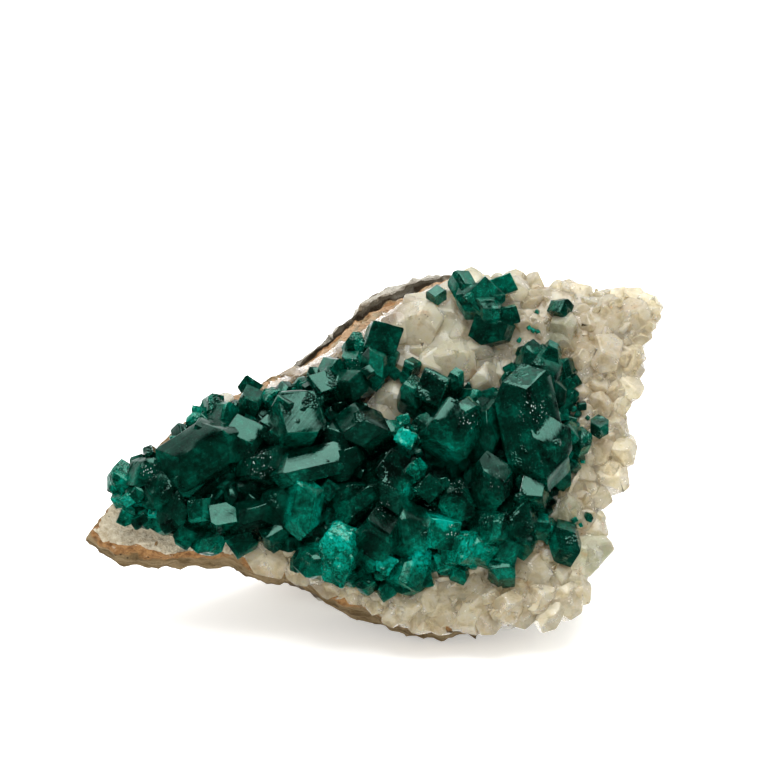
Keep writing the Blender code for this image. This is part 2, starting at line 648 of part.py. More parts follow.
def stand_on_ground(pieces):
    """Lean the face back and centre the specimen's footprint box on the origin."""
    specimen = bpy.data.objects.new("specimen", None)
    bpy.context.collection.objects.link(specimen)
    specimen.rotation_euler.x = math.radians(FACE_SLOPE)
    lean = Matrix.Rotation(math.radians(FACE_SLOPE), 3, "X")
    corners = [lean @ vert.co for piece in pieces for vert in piece.data.vertices]
    for axis in (0, 1):
        values = [corner[axis] for corner in corners]
        specimen.location[axis] = -(min(values) + max(values)) / 2
    specimen.location.z = -FLOOR * MM
    for piece in pieces:
        piece.parent = specimen


def build():
    for existing in list(bpy.data.objects):
        bpy.data.objects.remove(existing, do_unlink=True)
    pieces = [host_rock()]
    pieces.append(dioptase_group("dioptase_main_cluster", MAIN_CLUSTER, root_slab()))
    pieces.append(dioptase_group("dioptase_top_cluster", TOP_CLUSTER))
    for name, entry in SINGLES.items():
        pieces.append(dioptase_group(name, [entry]))
    for quartz in (quartz_druse(), left_quartz()):
        cut_seats(quartz)
        pieces.append(quartz)
    stand_on_ground(pieces)


build()
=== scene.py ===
"""A raw dioptase specimen: green crystals on a quartz druse, on a broken piece of host rock."""

import math
import random

import bpy
from mathutils import Matrix, Vector, noise
from mathutils.bvhtree import BVHTree


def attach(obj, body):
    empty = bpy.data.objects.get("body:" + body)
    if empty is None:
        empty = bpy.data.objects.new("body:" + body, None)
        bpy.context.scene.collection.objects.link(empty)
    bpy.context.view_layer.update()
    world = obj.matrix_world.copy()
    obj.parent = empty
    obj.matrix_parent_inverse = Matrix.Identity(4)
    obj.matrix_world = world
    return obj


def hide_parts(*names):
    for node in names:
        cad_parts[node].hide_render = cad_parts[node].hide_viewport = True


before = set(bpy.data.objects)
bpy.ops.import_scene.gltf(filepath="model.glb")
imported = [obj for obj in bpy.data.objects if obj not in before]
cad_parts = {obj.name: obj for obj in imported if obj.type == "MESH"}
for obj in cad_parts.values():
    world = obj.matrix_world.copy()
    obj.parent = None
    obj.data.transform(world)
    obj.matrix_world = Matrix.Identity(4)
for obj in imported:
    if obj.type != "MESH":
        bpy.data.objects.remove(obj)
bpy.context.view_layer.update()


# ------------------------------------------------------------ studio
# A wide pale floor under one large soft light overhead. The camera stands well back and looks
# down on the specimen, whose crystal face leans back from it.

FACE_PLACE = Vector((0.00025, -0.0251343, 0.004))     # corner of the leaning crystal face
FACE_LEAN = math.radians(52)
VIEW_SLOPE = math.radians(24)
VIEW_DISTANCE = 1.2
VIEW_WIDTH = 0.1237           # what the picture takes in at the aim, from side to side
AIM_RIGHT, AIM_UP, AIM_BEHIND = 0.00145, 0.0415, 0.010
NEAR, FAR = 0.05, 60
FLOOR_SIZE = 24.0
MM = 0.001

# name, lean towards the viewer, width of the light in degrees, strength
LIGHTS = (("overhead_softbox", 0, 52, 3.0), ("front_fill", 52, 150, 2.9))

look = Vector((0, math.cos(VIEW_SLOPE), -math.sin(VIEW_SLOPE)))
look_up = Vector((0, math.sin(VIEW_SLOPE), math.cos(VIEW_SLOPE)))
aim = FACE_PLACE + Vector((AIM_RIGHT, 0, 0)) + look_up * AIM_UP + look * AIM_BEHIND

bpy.ops.object.camera_add(location=aim - look * VIEW_DISTANCE)
camera = bpy.context.object
camera.rotation_euler = look.to_track_quat("-Z", "Y").to_euler()
camera.data.lens = camera.data.sensor_width * VIEW_DISTANCE / VIEW_WIDTH
camera.data.clip_start = NEAR
camera.data.clip_end = FAR
bpy.context.scene.camera = camera
bpy.context.scene.view_settings.view_transform = "Standard"

for name, slope, width, strength in LIGHTS:
    bpy.ops.object.light_add(type="SUN", rotation=(math.radians(slope), 0, 0))
    light = bpy.context.object
    light.name = name
    light.data.energy = strength
    light.data.angle = math.radians(width)
    light.visible_glossy = name != "front_fill"


class Shade:
    """A number, colour or vector that flows through the nodes of a material."""

    def __init__(self, tree, socket=None):
        self.tree = tree
        self.socket = socket

    def node(self, kind, settings=None, inputs=None, output=0):
        """Add a node: first its settings, then the values or links of its sockets."""
        made = self.tree.nodes.new("ShaderNode" + kind)
        for name, value in (settings or {}).items():
            if name == "stops":
                while len(made.color_ramp.elements) < len(value):
                    made.color_ramp.elements.new(0.5)
                for stop, (place, colour) in zip(made.color_ramp.elements, value):
                    stop.position = place
                    stop.color = (*colour, 1)
            else:
                setattr(made, name, value)
        for name, value in (inputs or {}).items():
            if isinstance(value, Shade):
                self.tree.links.new(value.socket, made.inputs[name])
            else:
                made.inputs[name].default_value = value
        return Shade(self.tree, made.outputs[output])

    def maths(self, operation, a, b):
        """A sum of two numbers, or another Math operation on them."""
        return self.node("Math", {"operation": operation}, {0: a, 1: b})

    def __add__(self, other):
        return self.maths("ADD", self, other)

    def __radd__(self, other):
        return self.maths("ADD", other, self)

    def __sub__(self, other):
        return self.maths("SUBTRACT", self, other)

    def __rsub__(self, other):
        return self.maths("SUBTRACT", other, self)

    def __mul__(self, other):
        return self.maths("MULTIPLY", self, other)

    def __rmul__(self, other):
        return self.maths("MULTIPLY", other, self)

    def part(self, index):
        """One of the three numbers of a vector."""
        return self.node("SeparateXYZ", None, {0: self}, index)

    def step(self, low, high):
        """0 below low and 1 above high, with a smooth rise between; low may be the larger."""
        if low > high:
            return 1 - self.step(high, low)
        settings = {"interpolation_type": "SMOOTHSTEP"}
        return self.node("MapRange", settings, {"Value": self, "From Min": low, "From Max": high})

    def mix(self, a, b):
        """Colour a where this is 0, and colour b where it is 1."""
        colours = [(*c, 1) if isinstance(c, tuple) else c for c in (a, b)]
        settings = {"data_type": "RGBA", "clamp_factor": True}
        return self.node("Mix", settings, {0: self, 6: colours[0], 7: colours[1]}, 2)

    def ramp(self, *stops):
        """A colour from this number, by way of stops of (number, colour)."""
        return self.node("ValToRGB", {"stops": stops}, {"Fac": self})

    def noise(self, scale, detail=4, roughness=0.55, warp=0.0):
        """Cloudy noise on these coordinates."""
        inputs = {"Vector": self, "Scale": scale, "Detail": detail, "Roughness": roughness}
        return self.node("TexNoise", None, {**inputs, "Distortion": warp})

    def cells(self, scale):
        """Distance to the nearest of the points that are strewn over these coordinates."""
        return self.node("TexVoronoi", {"feature": "F1"}, {"Vector": self, "Scale": scale})

    def squash(self, x, y, z):
        """Stretch the pattern that is drawn on these coordinates."""
        return self.node("Mapping", None, {"Vector": self, "Scale": (x, y, z)})

    def bump(self, height, distance):
        """A normal for a surface that is finely rough."""
        return self.node("Bump", None, {"Height": height, "Distance": distance, "Strength": 1.0})


def new_material(name, **constants):
    """A material, its shader with its constants set, and the coordinates of the face in mm."""
    made = bpy.data.materials.new(name)
    made.use_nodes = True
    shader = made.node_tree.nodes["Principled BSDF"]
    for socket, value in constants.items():
        shader.inputs[socket.replace("_", " ")].default_value = value
    tree = Shade(made.node_tree)
    place = tree.node("TexCoord", None, None, 3)
    inputs = {"Vector": place, "Location": FACE_PLACE, "Rotation": (FACE_LEAN, 0, 0), "Scale": (MM,) * 3}
    return made, shader, tree.node("Mapping", {"vector_type": "TEXTURE"}, inputs)


def wire(shader, **sockets):
    """Feed the varying sockets of a shader."""
    for socket, shade in sockets.items():
        shade.tree.links.new(shade.socket, shader.inputs[socket.replace("_", " ")])


# The room is bright only towards the wall behind the specimen, which gives the facets something
# to mirror; seen directly it is plain white all round.
world = bpy.data.worlds.new("room")
bpy.context.scene.world = world
world.use_nodes = True
room = Shade(world.node_tree)
backwards = room.node("TexCoord").part(1)
wall = room.node("MapRange", {"interpolation_type": "SMOOTHSTEP"}, {
    "Value": backwards, "From Min": 0.05, "From Max": 0.6, "To Min": 0.05, "To Max": 1.3})
seen = room.node("LightPath")
background = world.node_tree.nodes["Background"]
background.inputs["Color"].default_value = (1, 1, 1, 1)
wire(background, Strength=wall * (1 - seen) + seen)

bpy.ops.object.select_all(action="DESELECT")
bpy.ops.mesh.primitive_plane_add(size=FLOOR_SIZE)
floor = bpy.context.object
floor.name = "floor"
paint, _, _ = new_material(
    "floor", Base_Color=(0.93, 0.93, 0.915, 1), Emission_Color=(1, 0.99, 0.96, 1),
    Emission_Strength=0.4, Roughness=0.6, Specular_IOR_Level=0.1)
floor.data.materials.append(paint)
floor.visible_glossy = False


# ------------------------------------------------------------ host rock
# The loose piece of matrix: brown layered rock with a cream skin, a crevice behind its upper left
# edge and a pale layer beyond. It broke out of the ground and rests on its own flat underside.

WELD = 0.000005               # distance within which loose corners are one
ON_THE_GROUND = 0.000001      # how exactly a piece is cut at the ground
ROCK_GRID = 0.0007            # voxels of the finer mesh
ROCK_SMOOTH = 35              # degrees up to which an edge is shaded smooth
# kind, size and height of the lumps in the rock, largest first
ROCK_LUMPS = (
    ("CLOUDS", 0.005, 0.0024, {"noise_depth": 3}),
    ("VORONOI", 0.0026, 0.0013, {"weight_1": -1.0, "weight_2": 1.0}),
    ("CLOUDS", 0.0012, 0.0007, {"noise_depth": 2}),
)
STREAKED = (0.38, 0.30, 0.19)
PEACH = (0.60, 0.36, 0.20)
# painted shade for the inside of the crevice
CREVICE_SHADE = (0.10, 0.065, 0.03)
DARK_GRAIN = (0.03, 0.022, 0.015)


def pick(piece):
    """Select one object alone and make it the active one."""
    bpy.ops.object.select_all(action="DESELECT")
    piece.select_set(True)
    bpy.context.view_layer.objects.active = piece


def copy_of_node(node, name):
    """A copy of a fixed solid with its loose triangles merged, ready to be refined."""
    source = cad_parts[node]
    piece = bpy.data.objects.new(name, source.data.copy())
    bpy.context.collection.objects.link(piece)
    piece.data.materials.clear()
    pick(piece)
    bpy.ops.object.mode_set(mode="EDIT")
    bpy.ops.mesh.select_all(action="SELECT")
    bpy.ops.mesh.remove_doubles(threshold=WELD)
    bpy.ops.object.mode_set(mode="OBJECT")
    return piece


def apply_modifier(piece, kind, **settings):
    """Add a modifier to a piece and make its result the piece's own mesh."""
    pick(piece)
    modifier = piece.modifiers.new(kind.lower(), kind)
    for name, value in settings.items():
        setattr(modifier, name, value)
    bpy.ops.object.modifier_apply(modifier=modifier.name)


def relief(piece, kind, size, strength, level=0.5, **settings):
    """Roughen a surface with a procedural texture."""
    texture = bpy.data.textures.new(piece.name, kind)
    texture.noise_scale = size
    for name, value in settings.items():
        setattr(texture, name, value)
    apply_modifier(piece, "DISPLACE", texture=texture, texture_coords="LOCAL", strength=strength,
                   mid_level=level)


def stand_flat(piece):
    """Cut a piece off at the ground that it rests on."""
    pick(piece)
    bpy.ops.object.mode_set(mode="EDIT")
    bpy.ops.mesh.select_all(action="SELECT")
    bpy.ops.mesh.bisect(plane_co=(0, 0, 0), plane_no=(0, 0, -1), use_fill=True, clear_outer=True,
                        threshold=ON_THE_GROUND)
    bpy.ops.object.mode_set(mode="OBJECT")


rock = copy_of_node("host_rock", "host_rock_surface")
apply_modifier(rock, "REMESH", mode="VOXEL", voxel_size=ROCK_GRID)
for kind, size, height, settings in ROCK_LUMPS:
    relief(rock, kind, size, height, **settings)
stand_flat(rock)
bpy.ops.object.shade_smooth_by_angle(angle=math.radians(ROCK_SMOOTH))

stone, shader, place = new_material("host_rock", Roughness=0.85, Specular_IOR_Level=0.25)
across, up, depth = place.part(0), place.part(1), place.part(2)
blotch = place.noise(0.16, 6, 0.6)
grain = place.noise(1.3, 8, 0.65)
layers = place.squash(0.14, 0.14, 0.8).noise(1.0, 8, 0.68, 0.15)
warped = depth + (blotch - 0.5) * 5 + (grain - 0.5) * 1.2
brown = layers.ramp(
    (0.25, (0.055, 0.032, 0.012)),
    (0.42, (0.16, 0.105, 0.045)),
    (0.55, (0.28, 0.20, 0.10)),
    (0.72, (0.40, 0.31, 0.18)),
)
rust = grain.ramp((0.35, (0.17, 0.07, 0.02)), (0.6, (0.42, 0.22, 0.08)))
# the skin on the face is cream, and streaked and peach-coloured along the upper left edge
cream = grain.ramp((0.3, (0.44, 0.35, 0.22)), (0.5, (0.62, 0.54, 0.39)), (0.7, (0.78, 0.72, 0.57)))
peach = warped.step(0.2, -1.0) * place.noise(0.55, 5, 0.65).step(0.38, 0.54) * up.step(34, 42)
cream = (up.step(26, 38) * 0.7).mix(cream, STREAKED)
cream = (peach * 0.75).mix(cream, PEACH)
grey = grain.ramp((0.3, (0.42, 0.39, 0.32)), (0.6, (0.70, 0.68, 0.60)))
normal = place.node("NewGeometry", None, None, 1)
outward = (0, -math.sin(FACE_LEAN), math.cos(FACE_LEAN))
front = normal.node("VectorMath", {"operation": "DOT_PRODUCT"}, {0: normal, 1: outward}, 1)
skin = (front + (blotch - 0.5) * 0.7 + (grain - 0.5) * 0.5).step(0.60, 0.76) * warped.step(-4.6, -3.4)
streak = warped.step(-5.6, -4.4) * warped.step(-1.2, -2.2) * blotch.step(0.34, 0.47)
# the pale layer lies behind, and the crevice is painted dark inside as painted shade
beyond = depth.step(-10.6, -11.4) * across.step(-26, -18) * (depth + (blotch - 0.5) * 12).step(-22, -18)
colour = skin.mix(streak.mix(brown, rust), cream)
colour = (beyond * 0.8).mix(colour, grey)
# painted shade: the inside of the crevice is darkened by its depth behind the face
crevice_shade = depth.step(-12.5, -13.1) * depth.step(-16, -15) * across.step(22, 14)
colour = (crevice_shade * 0.85).mix(colour, CREVICE_SHADE)
specks = place.cells(0.9).step(0.24, 0.12) * place.noise(0.5, 2).step(0.55, 0.62)
colour = (specks * 0.7).mix(colour, DARK_GRAIN)
wire(shader, Base_Color=colour, Roughness=0.72 + grain * 0.25,
     Normal=place.bump(grain + layers * 0.6, 0.0012))
rock.data.materials.append(stone)
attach(rock, "root")
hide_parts("host_rock")


# ------------------------------------------------------------ quartz druse
# The crust of small quartz points that grew over the rock. It is milky and cream coloured, its
# points are stubby, and it was there before the dioptase grew on it.

FACE = Matrix.Translation(FACE_PLACE) @ Matrix.Rotation(FACE_LEAN, 4, "X") @ Matrix.Scale(MM, 4)
TO_FACE = FACE.inverted()
ABOVE, REACH = 40, 58         # where a height over the face is measured from, and how far down
QUARTZ_ROOT = -3.5            # the deepest that a point's root goes
QUARTZ_SHAPES = 12
QUARTZ_GRID = 0.55
QUARTZ_SMOOTH = 11
QUARTZ_EDGE = 0.035           # width of the bevelled edges of a point 1 mm across
LARGE_POINT = 8               # width from which a point is large, and stands clear of small ones
# box on the face, distance between places, width of the points
STUBBY_POINTS = ((-24, 2, 45, 61), 2.4, (2.4, 5.2))
TINY_POINTS = ((-20, 4, 45, 60), 1.7, (1.0, 2.4))
# small points keep this far from the lower edge of the crust, and from its upper left edge
LOWER_MARGIN, TINY_MARGIN, UPPER_MARGIN, UPPER_LEFT = 1.8, 2, 1.6, 15
COVERED_LEFT, COVERED_UP = 21, 13      # no tiny points left of and above this, under the green
LOW_POINTS = 9                # a point lower on the face than this leans up or down half as much
# planes that end the crust above the rock's lower edge: a place on each, and its way out
LOWER_CUTS = (((10, 2.2, -4.0), (0, -0.5, -0.87)), ((-5, 7.5, -1.5), (-0.175, -0.47, -0.87)))
# places on the face where the quartz is greenish, and their reach
GREENISH = ((35, 15, 4.5), (30.6, 21.2, 3.5), (30, 51, 3.5), (-24, 38.6, 3.5), (-16.8, 41.7, 2.5))


def shell_of(mesh):
    """A surface in the coordinates of the face, to measure heights on."""
    corners = [TO_FACE @ vert.co for vert in mesh.vertices]
    return BVHTree.FromPolygons(corners, [tuple(face.vertices) for face in mesh.polygons])


def surface_at(shell, x, y):
    """Height and outward normal of a surface over a place on the face, or None beside it."""
    point, normal, _, _ = shell.ray_cast(Vector((x, y, ABOVE)), Vector((0, 0, -1)), REACH)
    return (point.z, normal) if point else None


def facing(right, up):
    """Unit vector out of the face that leans to the right and upwards."""
    return Vector((math.tan(math.radians(right)), math.tan(math.radians(up)), 1)).normalized()


def turned(vector, axis, degrees):
    """A direction after a turn about an axis."""
    return Matrix.Rotation(math.radians(degrees), 3, axis) @ vector


def cut_crystal(centre, planes, size, bevel):
    """Cut a crystal's facets from a block; the faces of its bevelled edges are left selected."""
    bpy.ops.object.select_all(action="DESELECT")
    bpy.ops.mesh.primitive_cube_add(size=size, location=centre)
    bpy.ops.object.transform_apply(location=True, rotation=False, scale=False)
    bpy.ops.object.mode_set(mode="EDIT")
    for normal, distance in planes:
        bpy.ops.mesh.select_all(action="SELECT")
        bpy.ops.mesh.bisect(
            plane_co=centre + normal * distance,
            plane_no=normal,
            use_fill=True,
            clear_outer=True,
        )
    bpy.ops.mesh.select_all(action="SELECT")
    bpy.ops.mesh.bevel(offset=bevel, segments=1, affect="EDGES")
    bpy.ops.object.mode_set(mode="OBJECT")
    return bpy.context.object


def put_aside(piece):
    """Keep a finished model out of the scene until it is joined or copied."""
    bpy.context.collection.objects.unlink(piece)
    return piece


def quartz_point(rng, name):
    """One quartz point 1 mm across, which stands on the origin: six sides and a six-sided tip."""
    planes = [(Vector((0, 0, -1)), 1.0)]
    for k in range(6):
        side = turned(Vector((1, 0, 0)), Vector((0, 0, 1)), 60 * k + rng.uniform(-4, 4))
        slope = math.radians(rng.uniform(34, 54))
        tip = Vector((0, 0, math.cos(slope))) + side * math.sin(slope)
        planes.append((side, 0.5 * rng.uniform(0.75, 1.2)))
        planes.append((tip, math.cos(slope) * rng.uniform(0.65, 1.2)))
    piece = cut_crystal(Vector((0, 0, 0)), planes, 4, QUARTZ_EDGE)
    piece.name = name
    return piece


def place_copy(source, matrix):
    """A copy of a model with its own mesh, put in its place in the mesh."""
    piece = bpy.data.objects.new(source.name, source.data.copy())
    piece.data.transform(matrix)
    return piece


def grow_together(base, crystals, name):
    """Join crystals and the mass that they stand in to one closed body."""
    grown = bpy.data.collections.new(name)
    for crystal in crystals:
        for collection in list(crystal.users_collection):
            collection.objects.unlink(crystal)
        grown.objects.link(crystal)
    bpy.context.scene.collection.children.link(grown)
    apply_modifier(base, "BOOLEAN", operation="UNION", solver="MANIFOLD", operand_type="COLLECTION",
                   collection=grown)
    for crystal in crystals:
        bpy.data.objects.remove(crystal)
    bpy.data.collections.remove(grown)
    base.name = name


def scattered(rng, box, step):
    """Places on the face, about evenly spread over a box."""
    x0, y0, x1, y1 = box
    places = []
    for row in range(int((y1 - y0) / step) + 1):
        for column in range(int((x1 - x0) / step) + 1):
            x = x0 + (column + 0.5 * (row % 2) + rng.uniform(-0.35, 0.35)) * step
            y = y0 + (row + rng.uniform(-0.35, 0.35)) * step
            places.append((x, y))
    return places


# place on the face, lean to the right and upwards, width, height over the rock
QUARTZ = [
    (7.2, 52.4, -5, 5, 8.6, 6.2), (3.5, 51.5, -15, 0, 5.5, 4.0), (8.0, 55.0, 0, 15, 6.0, 4.0),
    (12.0, 54.0, 10, 5, 6.5, 3.5), (14.5, 51.0, 10, -10, 5.0, 3.0), (7.5, 48.5, 0, -15, 2.6, 2.6),
    (12.6, 47.0, 5, 0, 9.0, 7.2), (9.6, 45.2, -20, -5, 5.6, 6.0), (16.0, 47.8, 20, 10, 5.6, 6.0),
    (18.0, 43.0, 10, -5, 5.0, 5.0), (3.5, 40.0, 0, 0, 5.5, 3.5), (1.5, 37.5, -10, -10, 4.0, 3.0),
    (6.0, 42.0, 10, 5, 4.0, 2.6), (25.0, 56.0, 0, 10, 3.6, 4.0), (26.5, 52.0, 0, -5, 5.0, 3.2),
    (30.0, 52.0, 0, -12, 4.6, 6.0), (34.0, 52.5, 5, 0, 4.4, 4.4), (37.5, 54.5, 0, 10, 6.0, 4.0),
    (41.5, 54.0, 5, 10, 6.0, 3.6), (44.5, 54.5, 10, 10, 3.6, 2.8), (36.5, 48.0, 0, 0, 6.4, 4.0),
    (33.0, 46.0, -10, 5, 4.4, 4.0), (40.0, 48.0, 15, 0, 5.0, 3.6), (42.5, 51.0, 15, 5, 4.0, 3.0),
    (38.5, 42.0, 10, 0, 6.0, 4.0), (35.5, 43.0, -5, 0, 5.0, 3.4), (36.0, 39.0, 0, -5, 4.8, 4.6),
    (41.0, 43.0, 20, 0, 4.0, 3.0), (38.5, 36.0, 10, 0, 5.0, 4.0), (39.5, 32.5, 20, 0, 5.0, 3.8),
    (36.0, 32.0, 0, -5, 4.4, 3.6), (33.5, 29.0, -5, -30, 4.2, 5.0), (38.0, 28.0, 20, -5, 4.8, 3.8),
    (35.5, 24.5, 15, -10, 4.4, 4.0), (30.5, 21.5, -5, 0, 6.6, 5.2), (34.0, 23.0, 10, -10, 3.8, 4.0),
    (33.6, 15.8, 12, -8, 8.0, 5.6), (35.0, 19.5, 20, 0, 4.4, 3.2), (27.5, 14.5, -10, -20, 3.6, 4.0),
    (29.5, 12.5, 5, -30, 3.2, 4.2), (25.0, 12.0, 0, -10, 5.0, 3.0), (26.0, 8.0, 0, -20, 5.4, 5.4),
    (30.5, 8.0, 15, -15, 6.4, 5.2), (32.0, 10.5, 20, -10, 4.0, 4.0), (28.0, 5.5, 10, -30, 4.4, 4.0),
    (21.0, 6.0, 0, -20, 6.2, 6.2), (22.5, 10.0, 0, -10, 4.4, 3.8), (18.5, 8.0, -5, -15, 4.4, 4.4),
    (15.5, 6.5, 0, -20, 6.2, 4.4), (11.0, 5.5, 5, -15, 6.0, 4.6), (8.5, 8.0, -5, -5, 5.4, 4.4),
    (5.0, 6.0, -10, -15, 5.6, 5.0), (7.0, 4.6, 0, -20, 5.0, 4.0), (3.5, 5.4, -15, -20, 4.2, 3.2),
    (12.5, 4.8, 0, -25, 5.0, 3.6), (18.0, 4.8, 5, -25, 5.2, 3.6), (23.5, 5.4, 10, -25, 4.6, 3.2),
    (10.0, 11.0, 0, 0, 3.2, 3.2), (15.5, 11.0, 10, 0, 3.4, 3.0), (-17.5, 14.0, 0, -10, 7.0, 2.6),
    (-13.5, 16.0, 5, -10, 4.0, 3.4), (-12.0, 12.5, 10, -15, 4.6, 3.2), (-10.0, 10.5, 0, -15, 3.4, 2.0),
    (-6.5, 9.6, -10, -10, 3.8, 2.0), (-3.5, 8.2, 0, -15, 3.8, 2.0), (0.0, 6.9, 10, -15, 3.6, 2.2),
    (-12.5, 43.5, -10, 15, 5.0, 2.0), (-5.5, 47.5, -10, 10, 3.4, 2.2), (45.2, 56.0, 40, 5, 2.8, 2.1),
    (23.2, 58.4, 0, 5, 4.6, 4.4), (26.6, 58.6, 5, 10, 3.6, 4.0), (20.4, 60.0, -5, 5, 3.6, 3.8),
]

rng = random.Random(11)
models = [put_aside(quartz_point(rng, "quartz_point")) for _ in range(QUARTZ_SHAPES)]
cad_rock = shell_of(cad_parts["host_rock"].data)
cad_druse = shell_of(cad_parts["quartz_druse"].data)


def rock_level(x, y, deepest):
    """Height of the rock under a place on the face, at most so deep."""
    ground = surface_at(cad_rock, x, y)
    return max(ground[0], deepest) if ground else deepest + 0.5


def stand_quartz(x, y, right, up, width, height):
    """A quartz point on the face, with its root in the crust."""
    level = rock_level(x, y, QUARTZ_ROOT)
    lean = facing(right, up if y > LOW_POINTS else up * 0.5)
    pointing = lean.to_track_quat("Z", "X").to_matrix().to_4x4()
    spin = Matrix.Rotation(rng.uniform(0, math.tau), 4, "Z")
    size = Matrix.Diagonal((width * rng.uniform(0.75, 1.1), width * rng.uniform(0.8, 1.15), height, 1))
    model = rng.choice(models)
    return place_copy(model, Matrix.Translation((x, y, level)) @ pointing @ spin @ size)


def crowded(x, y):
    """Whether a small point here would crowd one of the large clear ones."""
    return any(math.dist((x, y), (big[0], big[1])) < big[4] * 0.5
               for big in QUARTZ if big[4] >= LARGE_POINT)


points = [stand_quartz(*entry) for entry in QUARTZ]
box, step, widths = STUBBY_POINTS
for x, y in scattered(rng, box, step):
    top = surface_at(cad_druse, x, y)
    beside = [surface_at(cad_druse, x, y - LOWER_MARGIN)]
    if x < UPPER_LEFT:
        beside.append(surface_at(cad_druse, x - UPPER_MARGIN, y + UPPER_MARGIN))
    if top is None or None in beside or crowded(x, y):
        continue
    lean = top[1]
    right = math.degrees(math.atan2(lean.x, max(lean.z, 0.3))) * 0.5 + rng.uniform(-32, 32)
    up = math.degrees(math.atan2(lean.y, max(lean.z, 0.3))) * 0.5 + rng.uniform(-32, 32)
    width = rng.uniform(*widths)
    height = top[0] - rock_level(x, y, QUARTZ_ROOT) + rng.uniform(-0.4, 0.5)
    points.append(stand_quartz(x, y, right, up, width, height))
box, step, widths = TINY_POINTS
for x, y in scattered(rng, box, step):
    top = surface_at(cad_druse, x, y)
    edge = surface_at(cad_druse, x, y - TINY_MARGIN)
    covered = x < COVERED_LEFT and y > COVERED_UP
    if top is None or edge is None or covered or crowded(x, y):
        continue
    right, up = rng.uniform(-35, 35), rng.uniform(-35, 35)
    width = rng.uniform(*widths)
    height = top[0] - rock_level(x, y, QUARTZ_ROOT) + rng.uniform(0.2, 1.1)
    points.append(stand_quartz(x, y, right, up, width, height))

crust = copy_of_node("quartz_druse", "crust")
crust.data.transform(TO_FACE)
apply_modifier(crust, "REMESH", mode="VOXEL", voxel_size=QUARTZ_GRID)
relief(crust, "CLOUDS", 3.0, 0.6, 1.8, noise_depth=2)
grow_together(crust, points, "quartz_druse_points")
for model in models:
    bpy.data.objects.remove(model)
for foot, away in LOWER_CUTS:
    pick(crust)
    bpy.ops.object.mode_set(mode="EDIT")
    bpy.ops.mesh.select_all(action="SELECT")
    bpy.ops.mesh.bisect(plane_co=foot, plane_no=away, use_fill=True, clear_outer=True)
    bpy.ops.object.mode_set(mode="OBJECT")
crust.data.transform(FACE)
stand_flat(crust)
bpy.ops.object.shade_smooth_by_angle(angle=math.radians(QUARTZ_SMOOTH))


def absorb(material, colour, density):
    """Give a clear material its depth of colour."""
    tree = material.node_tree
    inside = Shade(tree).node("VolumeAbsorption", None, {"Color": (*colour, 1), "Density": density})
    tree.links.new(inside.socket, tree.nodes["Material Output"].inputs["Volume"])


def spot(flat, x, y, reach, core):
    """1 in the core of a spot on the face and 0 beyond its reach."""
    away = flat.node("VectorMath", {"operation": "DISTANCE"}, {0: flat, 1: (x, y, 0)}, 1)
    return away.step(reach, core)


quartz, shader, place = new_material(
    "quartz", IOR=1.5, Transmission_Weight=0.65, Subsurface_Weight=0.7, Coat_Weight=0.5,
    Coat_Roughness=0.04, Subsurface_Radius=(0.0010, 0.0009, 0.0007), Subsurface_Scale=1.0)
across, up = place.part(0), place.part(1)
flat = place.node("VectorMath", {"operation": "MULTIPLY"}, {0: place, 1: (1, 1, 0)})
cloud = place.noise(0.22, 4, 0.55)
veil = place.noise(0.5, 6, 0.6, 0.3)
crack = place.squash(1.0, 1.6, 1.0).noise(2.6, 6, 0.7, 1.5)
# milky and cream-coloured, with white veils and darker hollows
body = cloud.step(0.35, 0.65).mix((0.80, 0.69, 0.44), (0.92, 0.85, 0.62))
body = (veil.step(0.50, 0.70) * 0.45 + crack.step(0.58, 0.70) * 0.4).mix(body, (0.92, 0.90, 0.83))
body = (veil.step(0.47, 0.36) * 0.5).mix(body, (0.50, 0.41, 0.26))
for x, y, size in GREENISH:
    body = (spot(flat, x, y, size, size * 0.5) * 0.5).mix(body, (0.34, 0.46, 0.32))
# paler in the upper middle, and brown along the upper left edge
body = (up.step(32, 40) * across.step(28, 18) * 0.8).mix(body, (1.0, 0.96, 0.72))
rim = (up - across * 0.58).step(50.0, 51.2) * across.step(6, 3) * across.step(-21, -19)
body = (rim * 0.85).mix(body, (0.50, 0.36, 0.22))
# fine white cracks, clearer and darker places, rusty stains and dark grains
web = crack.step(0.49, 0.53) * crack.step(0.57, 0.53) * veil.step(0.43, 0.51)
body = (web * 0.85).mix(body, (0.98, 0.97, 0.92))
clear = place.noise(0.4, 3).step(0.48, 0.38) * 0.5
body = clear.mix(body, (0.56, 0.50, 0.36))
stain = place.noise(0.35, 5, 0.6).step(0.60, 0.70) * 0.45
body = stain.mix(body, (0.70, 0.42, 0.20))
specks = place.cells(1.1).step(0.16, 0.07) * place.noise(0.35, 2).step(0.56, 0.62)
body = (specks * 0.8).mix(body, (0.05, 0.04, 0.03))
wire(shader, Base_Color=body, Roughness=0.06 + veil.step(0.4, 0.7) * 0.25,
     Normal=place.bump(veil * 0.6 + crack * 0.6, 0.0002))
absorb(quartz, (0.93, 0.87, 0.68), 30)
crust.data.materials.clear()
crust.data.materials.append(quartz)
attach(crust, "root")
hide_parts("quartz_druse")


# ------------------------------------------------------------ dioptase crystals
# Six-sided prisms with three sloping facets on each end, deep emerald green and glossy. They grew
# one into another on the quartz; small ones fill the gaps and the edges of the mass.

